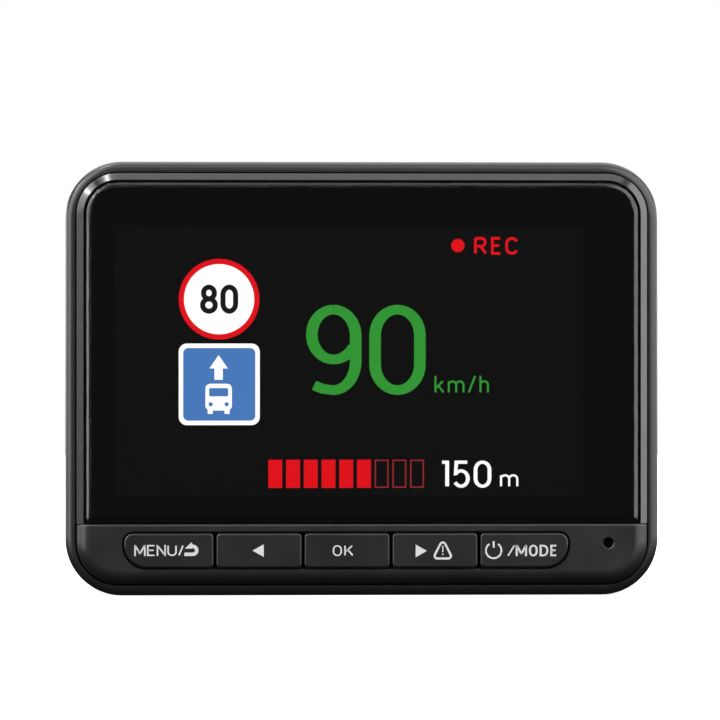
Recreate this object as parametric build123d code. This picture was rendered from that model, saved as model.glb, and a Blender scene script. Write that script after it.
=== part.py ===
from build123d import *
import math
import os

# Compact windscreen radar detector with a built-in recorder.
# Millimetres. +X is the driver's right, +Y points ahead of the car (the lens side), +Z is up.
# The screen faces -Y. The origin is under the middle of the whole object, on its flat base.

# driving dimensions
# Rear housing
body_width = 75.3
body_height = 55.0
body_depth = 24.0            # from the front lip to the back face
body_corner_radius = 7.2
back_edge_radius = 5.0
inner_back_radius = 3.0
lip_radius = 1.1
lip_wall = 1.3               # wall beside the bezel skirt
side_wall = 2.0
back_wall = 1.8

# Front bezel
bezel_gap = 0.2              # all round, inside the housing's lip
bezel_corner_radius = 5.2
bezel_rise = 1.2             # how far the gloss rim stands in front of the lip
bezel_chamfer_width = 0.85
bezel_chamfer_depth = 0.8
bezel_rim_width = 0.95
bezel_floor = 1.0
skirt_depth = 4.0
skirt_wall = 1.2
seat_depth = 0.15            # the bezel floor's front face lies this far in front of the lip

# Screen window
window_thickness = 1.2
window_edge_radius = 0.8
window_gap = 0.06            # all round, to the bezel's rim and the panel
mask_thickness = 0.1

# Button panel and keys
panel_height = 7.6
panel_rise = 1.9
panel_edge_radius = 1.7
panel_top_edge_radius = 0.25
key_count = 5
key_row_x = -2.0             # middle of the row of keys
key_row_margin_low = 1.95    # panel below the row's opening
key_row_margin_high = 0.95
key_pitch = 11.12
key_gap = 0.36               # between neighbouring keys
left_key_extra = 0.5         # how much longer the left end key is
right_key_extra = 0.36       # and the right end key
key_clearance = 0.2          # between a key and the panel's opening
key_proud = 0.3
key_corner_radius = 0.5
key_outer_top_radius = 1.1
key_outer_straight = 0.35    # left between the end keys' top and bottom roundings
key_edge_radius = 0.22
key_flange_overlap = 0.55
key_flange_thickness = 0.5
key_flange_play = 0.05
key_room = 0.15              # in the bezel's floor, above and below the flanges
key_room_side = 0.7          # and past the row's two ends
key_travel = 0.35
key_post_radius = 1.2

# Microphone
microphone_x = 31.1
microphone_z = 6.7
microphone_hole_radius = 0.65
microphone_radius = 1.5
microphone_depth = 1.5
microphone_boot_wall = 0.4

# Display module
display_x = -1.7
display_top_gap = 6.65       # from the bezel's top edge to the lit area
display_width = 59.4
display_height = 34.3
display_window_margin = 0.6
lcd_side_border = 1.5
lcd_top_border = 1.2
lcd_bottom_border = 2.1
lcd_thickness = 1.1
lcd_front_gap = 0.1
backlight_thickness = 1.05
backlight_border = 0.35
lcd_frame_sheet = 0.2
lcd_frame_depth = 2.6
lcd_ribbon_width = 16.0
lcd_ribbon_thickness = 0.15

# Main board and switches
board_gap_behind_lip = 6.0   # from the lip to the board's front face
board_thickness = 1.0
board_margin = 0.8           # to the inside of the housing
board_corner_radius = 3.8
switch_side = 4.5
switch_height = 2.0
switch_plunger_radius = 1.0
switch_plunger_gap = 0.05
switch_plunger_reach = 0.5   # how far the plunger sits in its switch at rest
switch_cover_sheet = 0.15

# Screws
housing_screw_radius = 1.0
housing_screw_length = 8.0
housing_screw_head_radius = 1.9
housing_screw_head_height = 1.4
screw_web = 3.45             # tower floor under the screw head
counterbore_radius = 2.15
tower_radius = 2.75
boss_radius = 1.9
screw_hole_clearance = 0.1
top_screw_inset_x = 6.5      # from the housing's sides
top_screw_inset_z = 4.5      # from its top
left_screw_inset_x = 4.5
left_screw_z = 6.6
right_screw_inset_x = 4.9
right_screw_z = 11.5
board_screw_x = 14.0
board_screw_inset_z = 4.5
small_screw_radius = 0.7
small_screw_length = 4.0
small_screw_head_radius = 1.25
small_screw_head_height = 0.8

# Lens turret and camera
lens_x = -10.0
lens_z = 32.0
lens_reach = 8.2             # from the back face to the end of the lens barrel
turret_wall = 2.7
turret_height = 5.6
turret_foot_radius = 1.2
turret_edge_radius = 0.8
trim_ring_wall = 1.13
trim_ring_clearance = 0.12   # round the barrel
trim_ring_fit = 0.05         # in the turret's bore
trim_ring_length = 4.0
trim_flange_overlap = 1.5
trim_flange_thickness = 0.9
barrel_head_radius = 8.0
barrel_head_length = 10.2
barrel_thread_radius = 6.0
barrel_bore_radius = 4.6
front_glass_radius = 5.6
front_glass_hollow = 3.6
glass_seat_depth = 5.0
camera_board_gap = 3.4       # between the main board and the camera board
camera_board_margin = 2.2    # beyond the screws
camera_board_height = 18.0
camera_board_thickness = 1.0
camera_post_radius = 1.9
camera_post_gap = 0.6        # between a post and the turret's bore
lens_holder_side = 15.0
lens_holder_base = 3.0
lens_holder_tube_radius = 7.4
lens_focus_gap = 2.0         # between the holder's tube and the barrel's head

# Radar receiver
radar_x = 19.0
radar_z = 28.0
horn_mouth_width = 23.0
horn_mouth_height = 17.0
horn_throat_width = 10.7
horn_throat_height = 4.3
horn_throat_length = 2.0
horn_wall = 0.8
horn_wall_gap = 0.3          # between the horn's mouth and the housing's back wall
radar_board_width = 25.0
radar_board_height = 21.0
radar_board_thickness = 0.8
radar_board_gap = 2.0
radar_cover_width = 27.0
radar_cover_height = 21.0
radar_cover_thickness = 0.9
radar_cover_corner_radius = 3.0
radar_cover_clearance = 0.08

# Satellite antenna
antenna_x = 19.5
antenna_height = 4.0
antenna_board_thickness = 0.8
antenna_roof_gap = 1.4
antenna_board_gap = 1.4      # between the main board and the antenna
antenna_wall_gap = 1.8       # between the antenna and the back wall

# Speaker
speaker_x = -14.0
speaker_radius = 7.2
speaker_depth = 4.2
speaker_magnet_radius = 4.0
speaker_wall_gap = 0.2
speaker_collar_wall = 0.9
grille_slot_width = 0.9
grille_slot_pitch = 2.1
grille_slots = 5

# Backup battery and heat sink
battery_x = 16.0
battery_z = 9.6
battery_length = 23.0
battery_width = 12.0
battery_thickness = 4.0
pad_thickness = 0.5
processor_side = 12.0
processor_height = 1.2
processor_x = -8.5
processor_z = 11.5
heat_sink_width = 18.0
heat_sink_height = 14.0
heat_sink_base = 1.0
heat_sink_fin_height = 2.6
heat_sink_fin_thickness = 0.8
heat_sink_fins = 6

# Power socket, on the right side
usb_z = 43.1
usb_width = 7.7
usb_height = 3.9
usb_length = 9.0
usb_sheet = 0.3
usb_recess = 0.4
port_clearance = 0.2

# Memory card, on the left side
card_z = 31.5
card_length = 15.0
card_width = 11.0
card_thickness = 0.7
card_recess = 0.6            # the latched card's end lies this far inside the housing's side
card_push = 0.8
card_clearance = 0.15
card_socket_length = 16.4
card_socket_sheet = 0.2
card_socket_height = 1.9
card_scoop_radius = 9.0
card_scoop_depth = 1.1

# Bracket slot, in the top
slot_neck_width = 10.0
slot_head_width = 14.0
slot_lip = 1.8
slot_depth = 4.6
socket_wall = 2.4
socket_board_gap = 1.6       # between the main board and the socket
socket_floor = 1.5
socket_clearance = 0.08
contact_count = 4
contact_width = 1.3
contact_length = 5.0
contact_thickness = 0.6
contact_pitch = 2.5
contact_gap = 1.7            # between the slot's end and the contacts
contact_proud = 0.1

# Cooling slots
vent_slot_length = 7.0
vent_slot_width = 1.1
vent_slot_pitch = 2.6
vent_slots = 7
vent_top_x = -19.8
vent_bottom_x = -8.0

# Leads
speaker_lead_radius = 0.4
speaker_lead_spacing = 1.2
antenna_lead_radius = 0.55
lead_plug_height = 1.4
speaker_plug_x = -23.2
speaker_plug_z = 14.8
antenna_plug_x = 22.4
antenna_plug_z = 43.2

# places worked out from them
key_face_rise = panel_rise + key_proud
total_depth = key_face_rise + body_depth + lens_reach
y_front = -total_depth / 2
y_lip = y_front + key_face_rise
y_back = y_lip + body_depth
y_lens_end = y_back + lens_reach
y_step = y_lip + skirt_depth
y_inner_back = y_back - back_wall
middle_z = body_height / 2

bezel_inset = lip_wall + bezel_gap
bezel_half_width = body_width / 2 - bezel_inset
bezel_low = bezel_inset
bezel_high = body_height - bezel_inset
y_seat = y_lip - seat_depth
y_floor_back = y_seat + bezel_floor
panel_top = bezel_low + panel_height

window_inset = bezel_rim_width + window_gap
window_half_width = bezel_half_width - window_inset
window_low = panel_top + window_gap
window_high = bezel_high - window_inset
window_corner_radius = bezel_corner_radius - window_inset
y_window_back = y_seat - mask_thickness
y_window = y_window_back - window_thickness

key_row_height = panel_height - key_row_margin_low - key_row_margin_high
key_row_z = bezel_low + key_row_margin_low + key_row_height / 2
key_height = key_row_height - 2 * key_clearance
key_outer_bottom_radius = key_height - key_outer_top_radius - key_outer_straight
key_row_width = key_pitch * key_count - key_gap
opening_half_height = key_row_height / 2
flange_half_height = key_height / 2 + key_flange_overlap
y_key_face = y_front
y_flange = y_seat + key_flange_play
y_flange_back = y_flange + key_flange_thickness

display_z = bezel_high - display_top_gap - display_height / 2
lcd_width = display_width + 2 * lcd_side_border
lcd_low = display_z - display_height / 2 - lcd_bottom_border
lcd_high = display_z + display_height / 2 + lcd_top_border
lcd_height = lcd_high - lcd_low
lcd_z = (lcd_low + lcd_high) / 2
y_lcd = y_floor_back + lcd_front_gap
y_lcd_back = y_lcd + lcd_thickness
y_backlight_back = y_lcd + lcd_frame_depth - lcd_frame_sheet - 0.05
y_frame_back = y_lcd + lcd_frame_depth

y_board = y_lip + board_gap_behind_lip
y_board_back = y_board + board_thickness
board_half_width = body_width / 2 - side_wall - board_margin
y_switch = y_board - switch_height

inner_half_width = body_width / 2 - side_wall
y_tower = y_board_back + 0.05
y_screw_head = y_tower + screw_web
top_screw_x = body_width / 2 - top_screw_inset_x
top_screw_z = body_height - top_screw_inset_z
screw_places = ((-top_screw_x, top_screw_z), (top_screw_x, top_screw_z),
                (left_screw_inset_x - body_width / 2, left_screw_z),
                (body_width / 2 - right_screw_inset_x, right_screw_z))
board_screw_z = body_height - board_screw_inset_z
board_screw_places = ((-board_screw_x, board_screw_z), (board_screw_x, board_screw_z))

y_camera_board = y_board_back + camera_board_gap
y_camera_board_back = y_camera_board + camera_board_thickness
trim_bore_radius = barrel_head_radius + trim_ring_clearance
turret_bore_radius = trim_bore_radius + trim_ring_wall + trim_ring_fit
turret_radius = turret_bore_radius + turret_wall
trim_flange_radius = turret_bore_radius + trim_flange_overlap
camera_post_reach = turret_bore_radius + camera_post_radius + camera_post_gap
camera_board_width = 2 * (camera_post_reach + camera_board_margin)
camera_screw_places = ((lens_x - camera_post_reach, lens_z), (lens_x + camera_post_reach, lens_z))
y_barrel_head = y_lens_end - barrel_head_length
lens_holder_tube_length = y_barrel_head - lens_focus_gap - y_camera_board_back - lens_holder_base
y_turret_end = y_back + turret_height

y_radar_board = y_board_back + radar_board_gap
y_horn = y_radar_board + radar_board_thickness
y_horn_mouth = y_inner_back - horn_wall_gap

antenna_top = body_height - side_wall - antenna_roof_gap
antenna_low = antenna_top - antenna_height
y_antenna = y_board_back + antenna_board_gap
antenna_side = y_inner_back - antenna_wall_gap - y_antenna
antenna_y_middle = y_antenna + antenna_side / 2

slot_low = body_height - slot_depth
socket_half_width = slot_head_width / 2 + socket_wall
socket_low = slot_low - socket_floor
y_socket = y_board_back + socket_board_gap
y_slot_end = y_socket + socket_wall
y_contact = y_slot_end + contact_gap + contact_length / 2

y_battery = y_board_back + pad_thickness
y_heat_sink = y_board_back + processor_height + pad_thickness
speaker_z = side_wall + inner_back_radius + speaker_radius - 0.4
y_speaker_front = y_inner_back - speaker_wall_gap
y_speaker_back = y_speaker_front - speaker_depth
usb_end_x = body_width / 2 - usb_recess
card_end_x = -body_width / 2 + card_recess
y_card = y_board_back + card_socket_height / 2 - card_thickness / 2


# shared shape helpers
def outline(corners):
    """Closed face through the corners (u, v, radius), each corner rounded with its own radius."""
    points = [Vector(u, v) for u, v, _ in corners]
    starts, middles, ends = [], [], []
    for i, corner in enumerate(points):
        radius = corners[i][2]
        back = (points[i - 1] - corner).normalized()
        ahead = (points[(i + 1) % len(points)] - corner).normalized()
        half_angle = math.radians(back.get_angle(ahead)) / 2
        cut = radius / math.tan(half_angle)
        centre = corner + (back + ahead).normalized() * (radius / math.sin(half_angle))
        starts.append(corner + back * cut)
        ends.append(corner + ahead * cut)
        middles.append(centre - (back + ahead).normalized() * radius)
    edges = []
    for i, (_, _, radius) in enumerate(corners):
        if radius > 0:
            edges.append(ThreePointArc(starts[i], middles[i], ends[i]))
        following = starts[(i + 1) % len(corners)]
        if (following - ends[i]).length > 1e-6:
            edges.append(Line(ends[i], following))
    return make_face(edges)


def rounded(x_low, z_low, x_high, z_high, bottom_left=0.0, bottom_right=None, top_right=None,
            top_left=None):
    """Rectangle from its edges; one radius for all the corners, or one each."""
    radii = [bottom_left if r is None else r for r in (bottom_left, bottom_right, top_right, top_left)]
    corners = ((x_low, z_low), (x_high, z_low), (x_high, z_high), (x_low, z_high))
    return outline([(u, v, r) for (u, v), r in zip(corners, radii)])


def centred(x, z, width, height, radius=0.0):
    return rounded(x - width / 2, z - height / 2, x + width / 2, z + height / 2, radius)


def inset_outline(inset, radius):
    """The housing's outline, moved in by inset."""
    return rounded(inset - body_width / 2, inset, body_width / 2 - inset, body_height - inset, radius)


def disc(x, z, radius):
    return Pos(x, z) * Circle(radius)


def prism(face, y_from, y_to):
    """Solid between two depths, from a face drawn with u along X and v along Z."""
    plane = Plane(origin=(0, y_to, 0), x_dir=(1, 0, 0), z_dir=(0, -1, 0))
    return extrude(plane * face, amount=y_to - y_from)


def upright(face, z_from, z_to):
    """Solid between two heights, from a face drawn with u along X and v along Y."""
    return extrude(Plane(origin=(0, 0, z_from)) * face, amount=z_to - z_from)


def sideways(face, x_from, x_to):
    """Solid between two X places, from a face drawn with u along Y and v along Z."""
    plane = Plane(origin=(x_from, 0, 0), x_dir=(0, 1, 0), z_dir=(1, 0, 0))
    return extrude(plane * face, amount=x_to - x_from)


def turned(corners, x, z):
    """Solid of revolution about a line along Y through (x, z). Corners are (radius, y, rounding)."""
    return revolve(axial(x, z) * outline(corners), Axis((x, 0, z), (0, 1, 0)))


def cap_arc(radius, y_apex, y_edge):
    """Arc from the axis at y_apex to the radius at y_edge, centred on the axis for a sphere."""
    rise = y_apex - y_edge
    sphere = (radius ** 2 + rise ** 2) / (2 * abs(rise))
    half_angle = math.asin(radius / sphere) / 2
    sag = math.copysign(sphere * (1 - math.cos(half_angle)), rise)
    return ThreePointArc((0, y_apex), (sphere * math.sin(half_angle), y_apex - sag), (radius, y_edge))


def axial(x, z):
    """Plane in which a section is drawn with u as the radius from the line along Y through (x, z)."""
    return Plane(origin=(x, 0, z), x_dir=(1, 0, 0), z_dir=(0, 0, 1))


def edges_at_y(solid, y):
    """Edges that lie wholly in the plane at y."""
    return [e for e in solid.edges() if all(abs(v.Y - y) < 1e-4 for v in e.vertices())
            and abs((e @ 0.5).Y - y) < 1e-4]


def save(name, shape):
    export_step(shape, f"parts/{name}.step")


def joined(solids):
    """Separate solids kept together in one node."""
    return Compound(children=[s.solid() for s in solids])


# casing
def housing_blank():
    """The housing's outer form, with its rounded lip and back edge."""
    blank = prism(inset_outline(0, body_corner_radius), y_lip, y_back)
    blank = fillet(edges_at_y(blank, y_back), back_edge_radius)
    return fillet(edges_at_y(blank, y_lip), lip_radius)


def housing_cavity():
    rebate = prism(inset_outline(lip_wall, bezel_corner_radius + bezel_gap), y_lip - 1, y_step)
    room_radius = body_corner_radius - side_wall
    room = prism(inset_outline(side_wall, room_radius), y_step - 0.5, y_inner_back)
    return rebate + fillet(edges_at_y(room, y_inner_back), inner_back_radius)


def turret():
    """Raised ring round the lens, flaring out where it meets the back face."""
    foot = turret_radius + turret_foot_radius
    flare = axial(lens_x, lens_z) * make_face([
        Line((0, y_inner_back), (foot, y_inner_back)),
        Line((foot, y_inner_back), (foot, y_back)),
        ThreePointArc((foot, y_back),
                      (foot - turret_foot_radius * math.sin(math.pi / 4),
                       y_back + turret_foot_radius * (1 - math.cos(math.pi / 4))),
                      (turret_radius, y_back + turret_foot_radius)),
        Line((turret_radius, y_back + turret_foot_radius),
             (turret_radius, y_turret_end - turret_edge_radius)),
        ThreePointArc((turret_radius, y_turret_end - turret_edge_radius),
                      (turret_radius - turret_edge_radius * (1 - math.cos(math.pi / 4)),
                       y_turret_end - turret_edge_radius * (1 - math.sin(math.pi / 4))),
                      (turret_radius - turret_edge_radius, y_turret_end)),
        Line((turret_radius - turret_edge_radius, y_turret_end), (0, y_turret_end)),
        Line((0, y_turret_end), (0, y_inner_back)),
    ])
    return revolve(flare, Axis((lens_x, 0, lens_z), (0, 1, 0)))


def speaker_grille():
    """Slots across the speaker, shorter towards its edge."""
    cuts = []
    for i in range(grille_slots):
        z = (i - (grille_slots - 1) / 2) * grille_slot_pitch
        half = math.sqrt((speaker_radius - 1.2) ** 2 - z ** 2)
        slot = centred(speaker_x, speaker_z + z, 2 * half, grille_slot_width, grille_slot_width * 0.49)
        cuts.append(prism(slot, y_inner_back - 1, y_back + 1))
    return cuts


def vent_row(x_middle, z_from, z_to):
    """A row of cooling slots through the top or the bottom wall."""
    cuts = []
    for i in range(vent_slots):
        x = x_middle + (i - (vent_slots - 1) / 2) * vent_slot_pitch
        slot = centred(x, (y_board_back + y_inner_back) / 2, vent_slot_width, vent_slot_length,
                       vent_slot_width * 0.49)
        cuts.append(upright(slot, z_from, z_to))
    return cuts


def socket_outline(clearance):
    """The bracket socket seen from above, long enough to run out through the back edge."""
    half = socket_half_width + clearance
    return rounded(-half, y_socket - clearance, half, y_back + 2)


def rear_housing():
    blank = housing_blank()
    shell = blank - housing_cavity() + turret()
    within = prism(inset_outline(side_wall / 2, body_corner_radius - side_wall / 2), y_lip,
                   y_back - back_wall / 2)
    supports = [prism(disc(x, z, tower_radius), y_tower, y_back) for x, z in screw_places]
    supports += [prism(disc(x, z, camera_post_radius), y_camera_board_back + 0.05, y_back)
                 for x, z in camera_screw_places]
    collar = disc(speaker_x, speaker_z, speaker_radius + 0.15 + speaker_collar_wall)
    collar -= disc(speaker_x, speaker_z, speaker_radius + 0.15)
    supports.append(prism(collar, y_speaker_back + 1.5, y_back))
    for support in supports:
        shell += support & within
    cuts = [turned([(0, y_inner_back - 4, 0), (turret_bore_radius, y_inner_back - 4, 0),
                    (turret_bore_radius, y_turret_end + 1, 0), (0, y_turret_end + 1, 0)], lens_x,
                    lens_z)]
    for x, z in screw_places:
        cuts.append(prism(disc(x, z, housing_screw_radius + screw_hole_clearance), y_tower - 1, y_back))
        cuts.append(prism(disc(x, z, counterbore_radius), y_screw_head, y_back + 1))
    for x, z in camera_screw_places:
        cuts.append(prism(disc(x, z, small_screw_radius + 0.02), y_camera_board_back,
                          y_camera_board_back + small_screw_length))
    cuts += speaker_grille()
    cuts += vent_row(vent_top_x, body_height - side_wall - 1, body_height + 1)
    cuts += vent_row(vent_bottom_x, -1, side_wall + 1)
    cover_pocket = centred(radar_x, radar_z, radar_cover_width + 2 * radar_cover_clearance,
                           radar_cover_height + 2 * radar_cover_clearance, radar_cover_corner_radius)
    cuts.append(prism(cover_pocket, y_back - radar_cover_thickness, y_back + 1))
    port = rounded(y_board_back - port_clearance, usb_z - usb_width / 2 - port_clearance,
                   y_board_back + usb_height + port_clearance, usb_z + usb_width / 2 + port_clearance,
                   0.4)
    cuts.append(sideways(port, usb_end_x - usb_length, body_width / 2 + 1))
    card_slot = rounded(y_card - card_clearance, card_z - card_width / 2 - card_clearance,
                        y_card + card_thickness + card_clearance,
                        card_z + card_width / 2 + card_clearance)
    cuts.append(sideways(card_slot, -body_width / 2 - 1, -inner_half_width + 1))
    scoop_x = -body_width / 2 - card_scoop_radius + card_scoop_depth
    scoop = Pos(scoop_x, y_card + card_thickness / 2, card_z) * Sphere(card_scoop_radius)
    cuts.append(scoop.solid())
    cuts.append(upright(socket_outline(socket_clearance), socket_low - socket_clearance,
                        body_height + 1))
    for cut in cuts:
        shell -= cut
    return shell


def front_bezel():
    """Gloss frame: raised rim, floor behind the window and panel, skirt and screw bosses."""
    half, radius = bezel_half_width, bezel_corner_radius
    full = rounded(-half, bezel_low, half, bezel_high, radius)
    rim = prism(full, y_lip - bezel_rise, y_seat)
    front_edges = edges_at_y(rim, y_lip - bezel_rise)
    rim = chamfer(front_edges, bezel_chamfer_width, bezel_chamfer_depth,
                  reference=rim.faces().sort_by(Axis.Y)[0])
    inner = rounded(-half + bezel_rim_width, bezel_low + bezel_rim_width, half - bezel_rim_width,
                    bezel_high - bezel_rim_width, radius - bezel_rim_width)
    rim -= prism(inner, y_lip - bezel_rise - 1, y_seat + 1)
    rim -= prism(rounded(-half - 1, bezel_low - 1, half + 1, panel_top + window_gap),
                 y_lip - bezel_rise - 1, y_seat + 1)
    display_opening = centred(display_x, display_z, display_width + 2 * display_window_margin,
                              display_height + 2 * display_window_margin, 0.5)
    key_opening = rounded(key_span(0)[0] - key_room_side, key_row_z - flange_half_height - key_room,
                          key_span(key_count - 1)[1] + key_room_side,
                          key_row_z + flange_half_height + key_room, *[key_corner_radius] * 4)
    floor = prism(full, y_seat, y_floor_back)
    skirt = prism(full, y_floor_back, y_step)
    skirt -= prism(rounded(-half + skirt_wall, bezel_low + skirt_wall, half - skirt_wall,
                           bezel_high - skirt_wall,
                           radius - skirt_wall), y_floor_back - 1, y_step + 1)
    frame = rim + floor + skirt
    within = prism(rounded(-half + 0.2, bezel_low + 0.2, half - 0.2, bezel_high - 0.2, radius - 0.2),
                   y_lip - 5, y_board)
    for x, z in screw_places:
        frame += prism(disc(x, z, boss_radius), y_floor_back - 0.5, y_board - 0.05) & within
    for x, z in board_screw_places:
        frame += prism(disc(x, z, boss_radius - 0.4), y_floor_back - 0.5, y_board - 0.05) & within
    frame -= prism(display_opening, y_seat - 1, y_floor_back + 0.01)
    frame -= prism(key_opening, y_seat - 1, y_floor_back + 0.01)
    frame -= prism(disc(microphone_x, microphone_z, microphone_radius + microphone_boot_wall + 0.05),
                   y_seat - 1, y_board - 1)
    for x, z in screw_places:
        frame -= prism(disc(x, z, housing_screw_radius + 0.02),
                       y_screw_head - housing_screw_length - 0.3, y_board)
    for x, z in board_screw_places:
        frame -= prism(disc(x, z, small_screw_radius + 0.02), y_board_back - small_screw_length - 0.3,
                       y_board)
    return frame


def screen_window():
    """Clear cover over the display, with a softened front edge."""
    face = rounded(-window_half_width, window_low, window_half_width, window_high,
                   0.4, 0.4, window_corner_radius, window_corner_radius)
    window = prism(face, y_window, y_window_back)
    return fillet(edges_at_y(window, y_window), window_edge_radius)


def window_mask():
    """Black border bonded behind the window, open over the lit area."""
    face = rounded(-window_half_width, window_low, window_half_width, window_high,
                   0.4, 0.4, window_corner_radius, window_corner_radius)
    face -= centred(display_x, display_z, display_width, display_height)
    return prism(face, y_window_back, y_seat)


# button panel and keys
def key_span(index):
    """Left and right ends of a key. The two end keys are a little longer."""
    low = key_row_x - key_row_width / 2 + index * key_pitch
    high = low + key_pitch - key_gap
    if index == 0:
        low -= left_key_extra
    if index == key_count - 1:
        high += right_key_extra
    return low, high


def key_outline(index):
    """A key seen from the front. The end keys' outer corners follow the panel's."""
    x_low, x_high = key_span(index)
    z_low = key_row_z - key_height / 2
    z_high = key_row_z + key_height / 2
    radii = [key_corner_radius] * 4
    if index == 0:
        radii[0], radii[3] = key_outer_bottom_radius, key_outer_top_radius
    if index == key_count - 1:
        radii[1], radii[2] = key_outer_bottom_radius, key_outer_top_radius
    return rounded(x_low, z_low, x_high, z_high, *radii)


def button_panel():
    """Satin fascia under the window: a full-width pillow cut off along its straight top edge."""
    half = bezel_half_width
    pillow = prism(rounded(-half, bezel_low, half, bezel_high, bezel_corner_radius),
                   y_lip - panel_rise, y_seat)
    pillow = fillet(edges_at_y(pillow, y_lip - panel_rise), panel_edge_radius)
    panel = pillow & prism(rounded(-half - 1, bezel_low - 1, half + 1, panel_top),
                           y_lip - panel_rise - 1, y_seat)
    crest = [e for e in panel.edges() if abs((e @ 0.5).Z - panel_top) < 1e-4
             and (e @ 0.5).Y < y_seat - 0.2 and abs((e @ 0.5).X) < half - 1e-3]
    panel = fillet(crest, panel_top_edge_radius)
    x_low = key_span(0)[0] - key_clearance
    x_high = key_span(key_count - 1)[1] + key_clearance
    opening = rounded(x_low, key_row_z - opening_half_height, x_high, key_row_z + opening_half_height,
                      key_outer_bottom_radius + key_clearance, key_outer_bottom_radius + key_clearance,
                      key_outer_top_radius + key_clearance, key_outer_top_radius + key_clearance)
    panel -= prism(opening, y_lip - panel_rise - 1, y_seat + 1)
    panel -= prism(disc(microphone_x, microphone_z, microphone_hole_radius), y_lip - panel_rise - 1,
                   y_seat + 1)
    rims = [e for e in edges_at_y(panel, y_lip - panel_rise)]
    return chamfer(rims, 0.12)


def key_middle(index):
    return key_row_x - key_row_width / 2 + index * key_pitch + (key_pitch - key_gap) / 2


def key(index):
    """Cap, retaining flange behind the panel, and the post that pushes the switch."""
    cap = prism(key_outline(index), y_key_face, y_flange_back)
    cap = fillet(edges_at_y(cap, y_key_face), key_edge_radius)
    x = key_middle(index)
    x_low, x_high = key_span(index)
    flange = rounded(x_low, key_row_z - flange_half_height, x_high, key_row_z + flange_half_height,
                     *[key_corner_radius] * 4)
    post = prism(disc(x, key_row_z, key_post_radius), y_flange_back - 0.1, y_switch - 0.6)
    return cap + prism(flange, y_flange, y_flange_back) + post


def switch_plunger(index):
    """The switch's own button, which the key's post pushes."""
    body = prism(disc(key_middle(index), key_row_z, switch_plunger_radius), y_switch - 0.6,
                 y_switch + switch_plunger_reach)
    return fillet(edges_at_y(body, y_switch - 0.6), 0.15)


def switch_body(index):
    x = key_middle(index)
    body = prism(centred(x, key_row_z, switch_side, switch_side, 0.3), y_switch + switch_cover_sheet,
                 y_board)
    well = disc(x, key_row_z, switch_plunger_radius + switch_plunger_gap)
    return body - prism(well, y_switch, y_switch + switch_plunger_reach + key_travel + 0.1)


def switch_cover(index):
    """Pressed steel lid with two side tabs."""
    x = key_middle(index)
    lid = centred(x, key_row_z, switch_side, switch_side, 0.3) - disc(x, key_row_z,
                                                                      switch_plunger_radius + 0.2)
    cover = prism(lid, y_switch, y_switch + switch_cover_sheet)
    for side in (-1, 1):
        edge = x + side * (switch_side / 2 + switch_cover_sheet / 2)
        cover += prism(centred(edge, key_row_z, switch_cover_sheet, 2.4), y_switch, y_board - 0.1)
    return cover


def microphone():
    y = y_seat + 0.3
    return prism(disc(microphone_x, microphone_z, microphone_radius), y, y + microphone_depth)


def microphone_boot():
    """Rubber sleeve that seals the microphone to the hole in the panel."""
    y_end = y_seat + 0.3 + microphone_depth
    boot = prism(disc(microphone_x, microphone_z, microphone_radius + microphone_boot_wall), y_seat,
                 y_end)
    boot -= prism(disc(microphone_x, microphone_z, microphone_radius), y_seat + 0.3, y_end + 1)
    return boot - prism(disc(microphone_x, microphone_z, microphone_hole_radius), y_seat - 1, y_end)


# display module
def lcd_panel():
    return prism(centred(display_x, lcd_z, lcd_width, lcd_height), y_lcd, y_lcd_back)


def lcd_backlight():
    face = centred(display_x, lcd_z, lcd_width - 2 * backlight_border,
                   lcd_height - 2 * backlight_border)
    return prism(face, y_backlight_back - backlight_thickness, y_backlight_back)


def lcd_frame():
    """Folded steel tray that holds the glass and the backlight, notched for the ribbon."""
    outer = centred(display_x, lcd_z, lcd_width + 0.7, lcd_height + 0.7, 0.4)
    tray = prism(outer, y_lcd, y_frame_back)
    tray -= prism(centred(display_x, lcd_z, lcd_width + 0.3, lcd_height + 0.3), y_lcd - 1,
                  y_frame_back - lcd_frame_sheet)
    notch = rounded(display_x - lcd_ribbon_width / 2 - 0.6, lcd_low - 2,
                    display_x + lcd_ribbon_width / 2 + 0.6,
                    lcd_low + 0.1)
    return tray - prism(notch, y_lcd - 1, y_frame_back + 1)


def lcd_ribbon():
    """Flexible circuit that folds from the glass's lower edge back to its socket on the board."""
    y_near, y_far = y_lcd_back, y_board - 0.55
    reach = (y_far - y_near) / 2
    fold = lcd_low + 0.1
    half = lcd_ribbon_thickness
    low_near, low_far = (y_near, fold), (y_far, fold)
    face = make_face([
        Line((y_near, lcd_low + 1.2), (y_near, fold)),
        ThreePointArc(low_near, (y_near + reach, fold - reach), low_far),
        Line(low_far, (y_far, lcd_low + 5.5)),
        Line((y_far, lcd_low + 5.5), (y_far - half, lcd_low + 5.5)),
        Line((y_far - half, lcd_low + 5.5), (y_far - half, fold)),
        ThreePointArc((y_far - half, fold), (y_near + reach, fold - reach + half),
                      (y_near + half, fold)),
        Line((y_near + half, fold), (y_near + half, lcd_low + 1.2)),
        Line((y_near + half, lcd_low + 1.2), (y_near, lcd_low + 1.2)),
    ])
    return sideways(face, display_x - lcd_ribbon_width / 2, display_x + lcd_ribbon_width / 2)


def lcd_connector():
    """Flat-cable socket on the board, with the slot that the ribbon's end sits in."""
    body = prism(centred(display_x, lcd_low + 5.2, lcd_ribbon_width + 3, 3.0, 0.2), y_board - 1.1,
                 y_board)
    y_far = y_board - 0.55
    slot = prism(centred(display_x, lcd_low + 4.2, lcd_ribbon_width + 0.3, 3.0),
                 y_far - lcd_ribbon_thickness - 0.05, y_far + 0.05)
    return body - slot


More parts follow.
